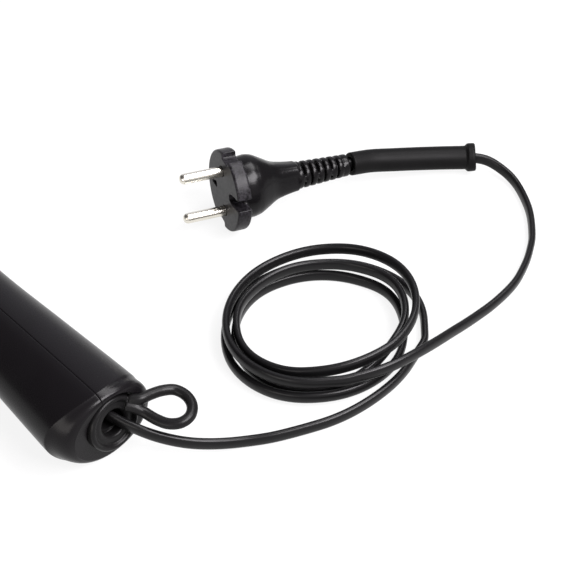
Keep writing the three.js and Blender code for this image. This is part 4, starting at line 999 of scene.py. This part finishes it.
plug = shaped("mains_plug", [
    turned(eased(oblong(-DISC_THICK, 0, 0, DISC_RADIUS), (0, 0, 0.9, 1.1), 8), 128),
], in_metres)
past_rim = DISC_RADIUS + 3
past_disc = -DISC_THICK - 1
rim_notch = mirrored([(NOTCH_WIDE / 2, DISC_RADIUS - NOTCH_DEPTH), (NOTCH_WIDE / 2 + 0.6, past_rim)])
earth_notch = mirrored([(1.0, EARTH_FROM), (EARTH_WIDE / 2, EARTH_FROM + 2.4), (EARTH_WIDE / 2, past_rim)])
pocket = mirrored([(1.5, POCKET[0]), (0.4, POCKET[1])])
cuts = []
for corners, depth, rounding, degrees in (
    *((rim_notch, past_disc, 0.8, angle) for angle in NOTCH_ANGLES),
    (earth_notch, past_disc, 0.6, EARTH_ANGLE),
    (pocket, -POCKET_DEPTH, 0.4, EARTH_ANGLE + 180),
):
    cuts.append(spun(carried(eased(corners, rounding), depth, 1, 0), math.radians(-degrees)))
carved(plug, cuts, where=in_metres)

bulb = []
for behind, half_high in smooth_path(BULB_PROFILE, 5):
    fullness = 2.0 + 1.2 * min(max((behind - 14) / 20, 0), 1)
    section = flat_section(2 * half_high * BULB_FLAT, 2 * half_high, 72, fullness)
    bulb.append(np.insert(section, 0, -behind, axis=1))
relief = [skin(bulb), rod((-RELIEF_END, 0, 0), (-RELIEF_FROM + 2, 0, 0), RELIEF_CORE)]
rib_pitch = (RELIEF_END - RELIEF_FROM) / RELIEF_RIBS
for rib in range(RELIEF_RIBS):
    radius = RELIEF_ROOT + (RELIEF_TIP - RELIEF_ROOT) * rib / (RELIEF_RIBS - 1)
    end = -RELIEF_FROM - (rib + 1) * rib_pitch
    wide = rib_pitch * (RIB_SHARE if rib < RELIEF_RIBS - 1 else LAST_RIB_SHARE)
    relief.append(turned(eased(oblong(end, end + wide, 0, radius), (0, 0, 0.5, 0.5)), 56))
    y, z = WEB_THICK / 2, radius * 0.96
    if rib % 2:
        y, z = z, y
    relief.append(block((end + 0.1, -y, -z), (end + rib_pitch + 0.2, y, z)))
carved(plug, relief, "UNION", in_metres)

pin_places = (-PIN_PITCH / 2, PIN_PITCH / 2)
bores = [rod((-PIN_ROOT - SEAT, 0, up), (1, 0, up), PIN_RADIUS + 0.15) for up in pin_places]
flex_bore = carried(flat_section(CORD_THICK + 0.5, CORD_HIGH + 0.5), -RELIEF_END - 1, -RELIEF_END + 6, 0)
carved(plug, [*bores, spun(flex_bore, -PLUG_ROLL)], where=in_metres)
moulded(plug, 0.36, 3)
co = np.zeros(len(plug.data.vertices) * 3)
plug.data.vertices.foreach_get("co", co)
local = co.reshape(-1, 3) / MM
on_disc = np.clip((local[:, 0] + DISC_THICK + 0.2) / 0.8, 0, 1)
plug.data.attributes.new("disc", "FLOAT", "POINT").data.foreach_set("value", on_disc.astype(np.float32))
plug.data.vertices.foreach_set("co", placed(plug_place(local)).ravel())
plug.data.update()
finished(plug, finish("black plug plastic", plug_black), ["plug_body"], crease=180.0)

pin_finish = finish("plated pin brass", mottled(
    (260.0, 3.0), ((0.66, 0.63, 0.56), (0.8, 0.77, 0.69)), (0.17, 0.08), (3000.0, 2.0, 0.000006, 0.4),
    Metallic=1.0,
))
pin_profile = eased([
    [-PIN_ROOT, 0], [-PIN_ROOT, PIN_RADIUS], [PIN_LENGTH - 1.2, PIN_RADIUS], [PIN_LENGTH, 1.3], [PIN_LENGTH, 0],
], (0, 0.2, 1.3, 0.7, 0), 10)
for pin_name, pin_up in (("upper", PIN_PITCH / 2), ("lower", -PIN_PITCH / 2)):
    def beside(points, up=pin_up):
        """Takes a pin from the plug's axis to its place."""
        return placed(plug_place(points + [0.0, 0.0, up]))

    pin = shaped("pin_" + pin_name, [turned(pin_profile, 64)], beside)
    finished(pin, pin_finish, ["plug_pin_" + pin_name])


# Slide switch
# The knob is a ribbed plate of grey nylon that slides in the recess on top of the grip. Its stem reaches
# through a slot into the switch below.

def grey_nylon(start):
    """Dark grey moulded nylon: an even grain, a little lighter where it is touched."""
    grain = start.noise(2200.0, 3.0)
    cloud = start.noise(140.0, 2.0)
    return {
        "Base Color": start.blend(cloud, (0.045, 0.046, 0.049), (0.065, 0.066, 0.07)),
        "Roughness": 0.42 + 0.1 * grain,
        "Normal": start.bump(grain, 0.00002, 0.5),
    }


KNOB_PLATE = 1.5
KNOB_RIDGE = 2.2
KNOB_RIM = ((1.0, -0.5), (0.985, -0.15), (0.96, 0.0))       # share of the way to the rim, height from the plate


def knob_top(x, y):
    """The knob's height above its plate: five ridges across it, the middle one the highest, each
    exp(-(distance/0.85)^4) and faded at the sides."""
    ridges = sum((KNOB_RIDGE - 0.28 * abs(i)) * np.exp(-(((x - 2.6 * i) / 0.85) ** 4)) for i in range(-2, 3))
    return ridges * np.clip((3.9 - np.abs(y)) / 0.7, 0, 1)


def knob_plate(middle, low):
    """The knob as one closed shape: an eased rectangle that shrinks in steps from the rim to the middle of the
    top, where the ridges rise, and of the underside."""
    outline = eased(oblong(-KNOB_LENGTH / 2, KNOB_LENGTH / 2, -knob_half, knob_half), 1.2, 8)
    onward = np.roll(outline, -1, axis=0) - outline
    edge = np.concatenate([outline + onward * t for t in (0, 0.25, 0.5, 0.75)])
    edge = edge[np.argsort(np.arctan2(edge[:, 1], edge[:, 0]))]
    rings = [np.insert(edge * share, 2, 0.0, axis=1) for share in (0.0, 1.0)]
    inner_steps = [(share, 0.0) for share in np.linspace(0.93, 0.0, 34)]
    for share, lift in [*KNOB_RIM, *inner_steps]:
        spot = edge * share
        rings.append(np.column_stack([spot, KNOB_PLATE + lift + knob_top(*spot.T)]))
    return skin(np.stack(rings) + [middle, 0.0, low])


knob_middle = SWITCH_MIDDLE - SWITCH_TRAVEL / 2
knob_low = pad_top + SEAT
knob = shaped("slide_knob", [knob_plate(knob_middle, knob_low)])
stem = block((knob_middle - STEM_LENGTH / 2, -STEM_WIDE / 2, pad_low - SEAT - 2.2),
             (knob_middle + STEM_LENGTH / 2, STEM_WIDE / 2, knob_low + 0.5))
carved(knob, [stem], "UNION")
grey = finish("dark grey nylon", grey_nylon)
finished(knob, grey, ["switch_knob"], "switch")
dressed(["switch_body"], grey)


# Inner parts
# The flex's end in its clamp, the rectifier board, and the motor with its plate and fan. They are bought in or
# plainly moulded, and show only through the slots or when the tool is opened.

def board_green(start):
    """Green laminate with the faint weave of its glass cloth."""
    weave = start.node("ShaderNodeTexChecker", {}, {"Vector": start.place(), "Scale": 2200.0}, output=1)
    return {
        "Base Color": start.blend(weave * 0.4, (0.02, 0.09, 0.035), (0.035, 0.13, 0.05)),
        "Roughness": 0.35 + 0.1 * start.noise(300.0),
    }


def drawn_steel(start):
    """Deep-drawn steel with fine lines along the tool."""
    lines = start.noise(1.0, 3.0, place=start.stretched((90.0, 3000.0, 3000.0)))
    return {
        "Base Color": start.blend(lines, (0.42, 0.42, 0.42), (0.58, 0.575, 0.57)),
        "Metallic": 1.0,
        "Roughness": 0.24 + 0.16 * lines,
        "Normal": start.bump(lines, 0.000006, 0.5),
    }


OFF_WHITE = ((0.62, 0.6, 0.55), (0.72, 0.7, 0.65))
DARK_METAL = ((0.1, 0.095, 0.09), (0.22, 0.2, 0.18))


white = finish("off-white nylon", mottled((200.0, 2.0), OFF_WHITE, (0.4, 0.1)))
dark_metal = finish("dark dull metal", mottled((900.0, 3.0), DARK_METAL, (0.4, 0.2), Metallic=0.8))
dressed(["cord_clamp_base", "cord_clamp_bar"], black_nylon)
dressed(["circuit_board"], finish("green laminate", board_green))
dressed([f"rectifier_diode_{i}" for i in range(1, 5)] + ["motor_plate", "motor_end_cap"], grey)
dressed(["suppressor_capacitor", "fan_wheel"], white)
dressed(["motor_can", "motor_shaft", "thermal_cutout"], finish("drawn steel", drawn_steel))
dressed(["motor_armature", "motor_magnet_upper", "motor_magnet_lower"], dark_metal)


# Heater
# A cross of mica sheets in a mica sleeve, wound with one wire of resistance alloy. It fills the nozzle.

def mica_sheet(start):
    """Pressed mica: pale amber flakes with a pearly gloss that changes from flake to flake."""
    flakes = start.node("ShaderNodeTexVoronoi", {}, {"Vector": start.place(), "Scale": 900.0}, output=1)
    tone = start.node("ShaderNodeSeparateColor", {}, {0: flakes})
    return {
        "Base Color": start.blend(tone, (0.42, 0.36, 0.24), (0.6, 0.55, 0.42)),
        "Roughness": 0.25 + 0.3 * tone,
    }


BROWNED_WIRE = ((0.2, 0.15, 0.12), (0.42, 0.38, 0.34))
HEATER_FROM = 164.8
WIRE_RADIUS = 0.45
WIRE_COIL = 9.7
WIRE_TURNS = 9
WIRE_LENGTH = 32.0
WIRE_START = 0.4            # radians
wire_turns = np.linspace(0, WIRE_TURNS, WIRE_TURNS * 48 + 1)
wire_angle = WIRE_START + 2 * np.pi * wire_turns
wire_line = np.column_stack([
    HEATER_FROM + 4 + WIRE_LENGTH / WIRE_TURNS * wire_turns,
    WIRE_COIL * np.cos(wire_angle), WIRE_COIL * np.sin(wire_angle),
])
wire = shaped("heater_wire", [swept(wire_line, circle(WIRE_RADIUS, 10), (1.0, 0.0, 0.0))])
wire_finish = finish("resistance wire", mottled((500.0, 2.0), BROWNED_WIRE, (0.35, 0.15), Metallic=1.0))
finished(wire, wire_finish, ["heater_coil"])
dressed(["heater_sleeve", "heater_former"], finish("pressed mica", mica_sheet))


# Nozzle, its grille and the nose ring
# The nozzle is a deep-drawn stainless steel tube with a cone and a rolled mouth, tinted by heat at its end. Two
# crossed bars guard the mouth. The nose ring, moulded in heat-proof grey nylon, snaps into the housing.

def tinted_steel(start):
    """Brushed stainless steel whose tint goes from plain to straw and then violet towards the hot mouth."""
    lines = start.noise(1.0, 3.0, place=start.stretched((4000.0, 160.0, 160.0)))
    cloud = start.noise(70.0, 2.0)
    along = start.place().part(0) + 0.004 * cloud
    straw = along.step(NOZZLE_END - 0.03, NOZZLE_END - 0.008)
    violet = along.step(NOZZLE_END - 0.012, NOZZLE_END)
    plain = start.blend(lines, (0.5, 0.495, 0.49), (0.62, 0.615, 0.61))
    warm = start.blend(straw * 0.7, plain, (0.6, 0.45, 0.26))
    return {
        "Base Color": start.blend(violet * 0.6, warm, (0.3, 0.22, 0.34)),
        "Metallic": 1.0,
        "Roughness": 0.2 + 0.14 * lines + 0.06 * cloud,
        "Normal": start.bump(lines, 0.000008, 0.5),
    }


NOZZLE_END = nozzle_box[1].x
NOZZLE_WALL = 0.7
NOZZLE_RADIUS = 13.0
NOZZLE_MOUTH = 10.6


def from_rear(x):
    """A place along the frame's X axis as millimetres from the rear end face."""
    return (x - home[0]) / MM


flange_at, nozzle_to = from_rear(nozzle_box[0].x), from_rear(nozzle_box[1].x)
nozzle_profile = eased([
    [flange_at, NOZZLE_RADIUS - NOZZLE_WALL], [flange_at, 14.8], [flange_at + 1, 14.8],
    [flange_at + 1, NOZZLE_RADIUS], [nozzle_to - 16, NOZZLE_RADIUS], [nozzle_to - 6, NOZZLE_MOUTH],
    [nozzle_to - 1.5, NOZZLE_MOUTH], [nozzle_to - 1.1, NOZZLE_MOUTH + 0.5], [nozzle_to, NOZZLE_MOUTH + 0.5],
    [nozzle_to, NOZZLE_MOUTH - NOZZLE_WALL], [nozzle_to - 6, NOZZLE_MOUTH - NOZZLE_WALL],
    [nozzle_to - 16, NOZZLE_RADIUS - NOZZLE_WALL],
], (0.2, 0.3, 0.3, 0.5, 2.5, 2.5, 0.4, 0.3, 0.5, 0.5, 2.5, 2.5), 8)
steel_tube = finish("heat-tinted steel", tinted_steel)
nozzle = shaped("nozzle", [turned(nozzle_profile, 120)])
finished(nozzle, steel_tube, ["nozzle_tube"])

BAR_RADIUS = 0.48
grille_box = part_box("mouth_grille")
grille_from, grille_to = (from_rear(grille_box[i].x) for i in (0, 1))
grille_outer = (grille_box[1].y - grille_box[0].y) / 2 / MM
grille_profile = eased(oblong(grille_from, grille_to, grille_outer - 1, grille_outer), 0.3)
grille = shaped("mouth_guard", [turned(grille_profile)])
bar_x = (grille_from + grille_to) / 2
for y, z in ((grille_outer - 0.6, 0), (0, grille_outer - 0.6)):
    carved(grille, [rod((bar_x, -y, -z), (bar_x, y, z), BAR_RADIUS, 20)], "UNION")
finished(grille, steel_tube, ["mouth_grille"])

nose_profile = eased([
    [163.1, 13.4], [163.1, 15.2], [BEAD_AT, 15.2], [BEAD_AT, 15.8], [BEAD_AT + BEAD_THICK, 15.8],
    [BEAD_AT + BEAD_THICK, 15.2], [172.3, 15.2], [172.3, 17.3], [181.0, 16.4], [183.4, 15.2],
    [184.0, 13.9], [184.0, 13.4],
], (0.2, 0.4, 0.1, 0.3, 0.3, 0.1, 0.2, 0.5, 1.5, 1.2, 0.3, 0.2), 7)
nose = shaped("nose_collar", [turned(nose_profile, 120)])
finished(nose, grey, ["nose_ring"])
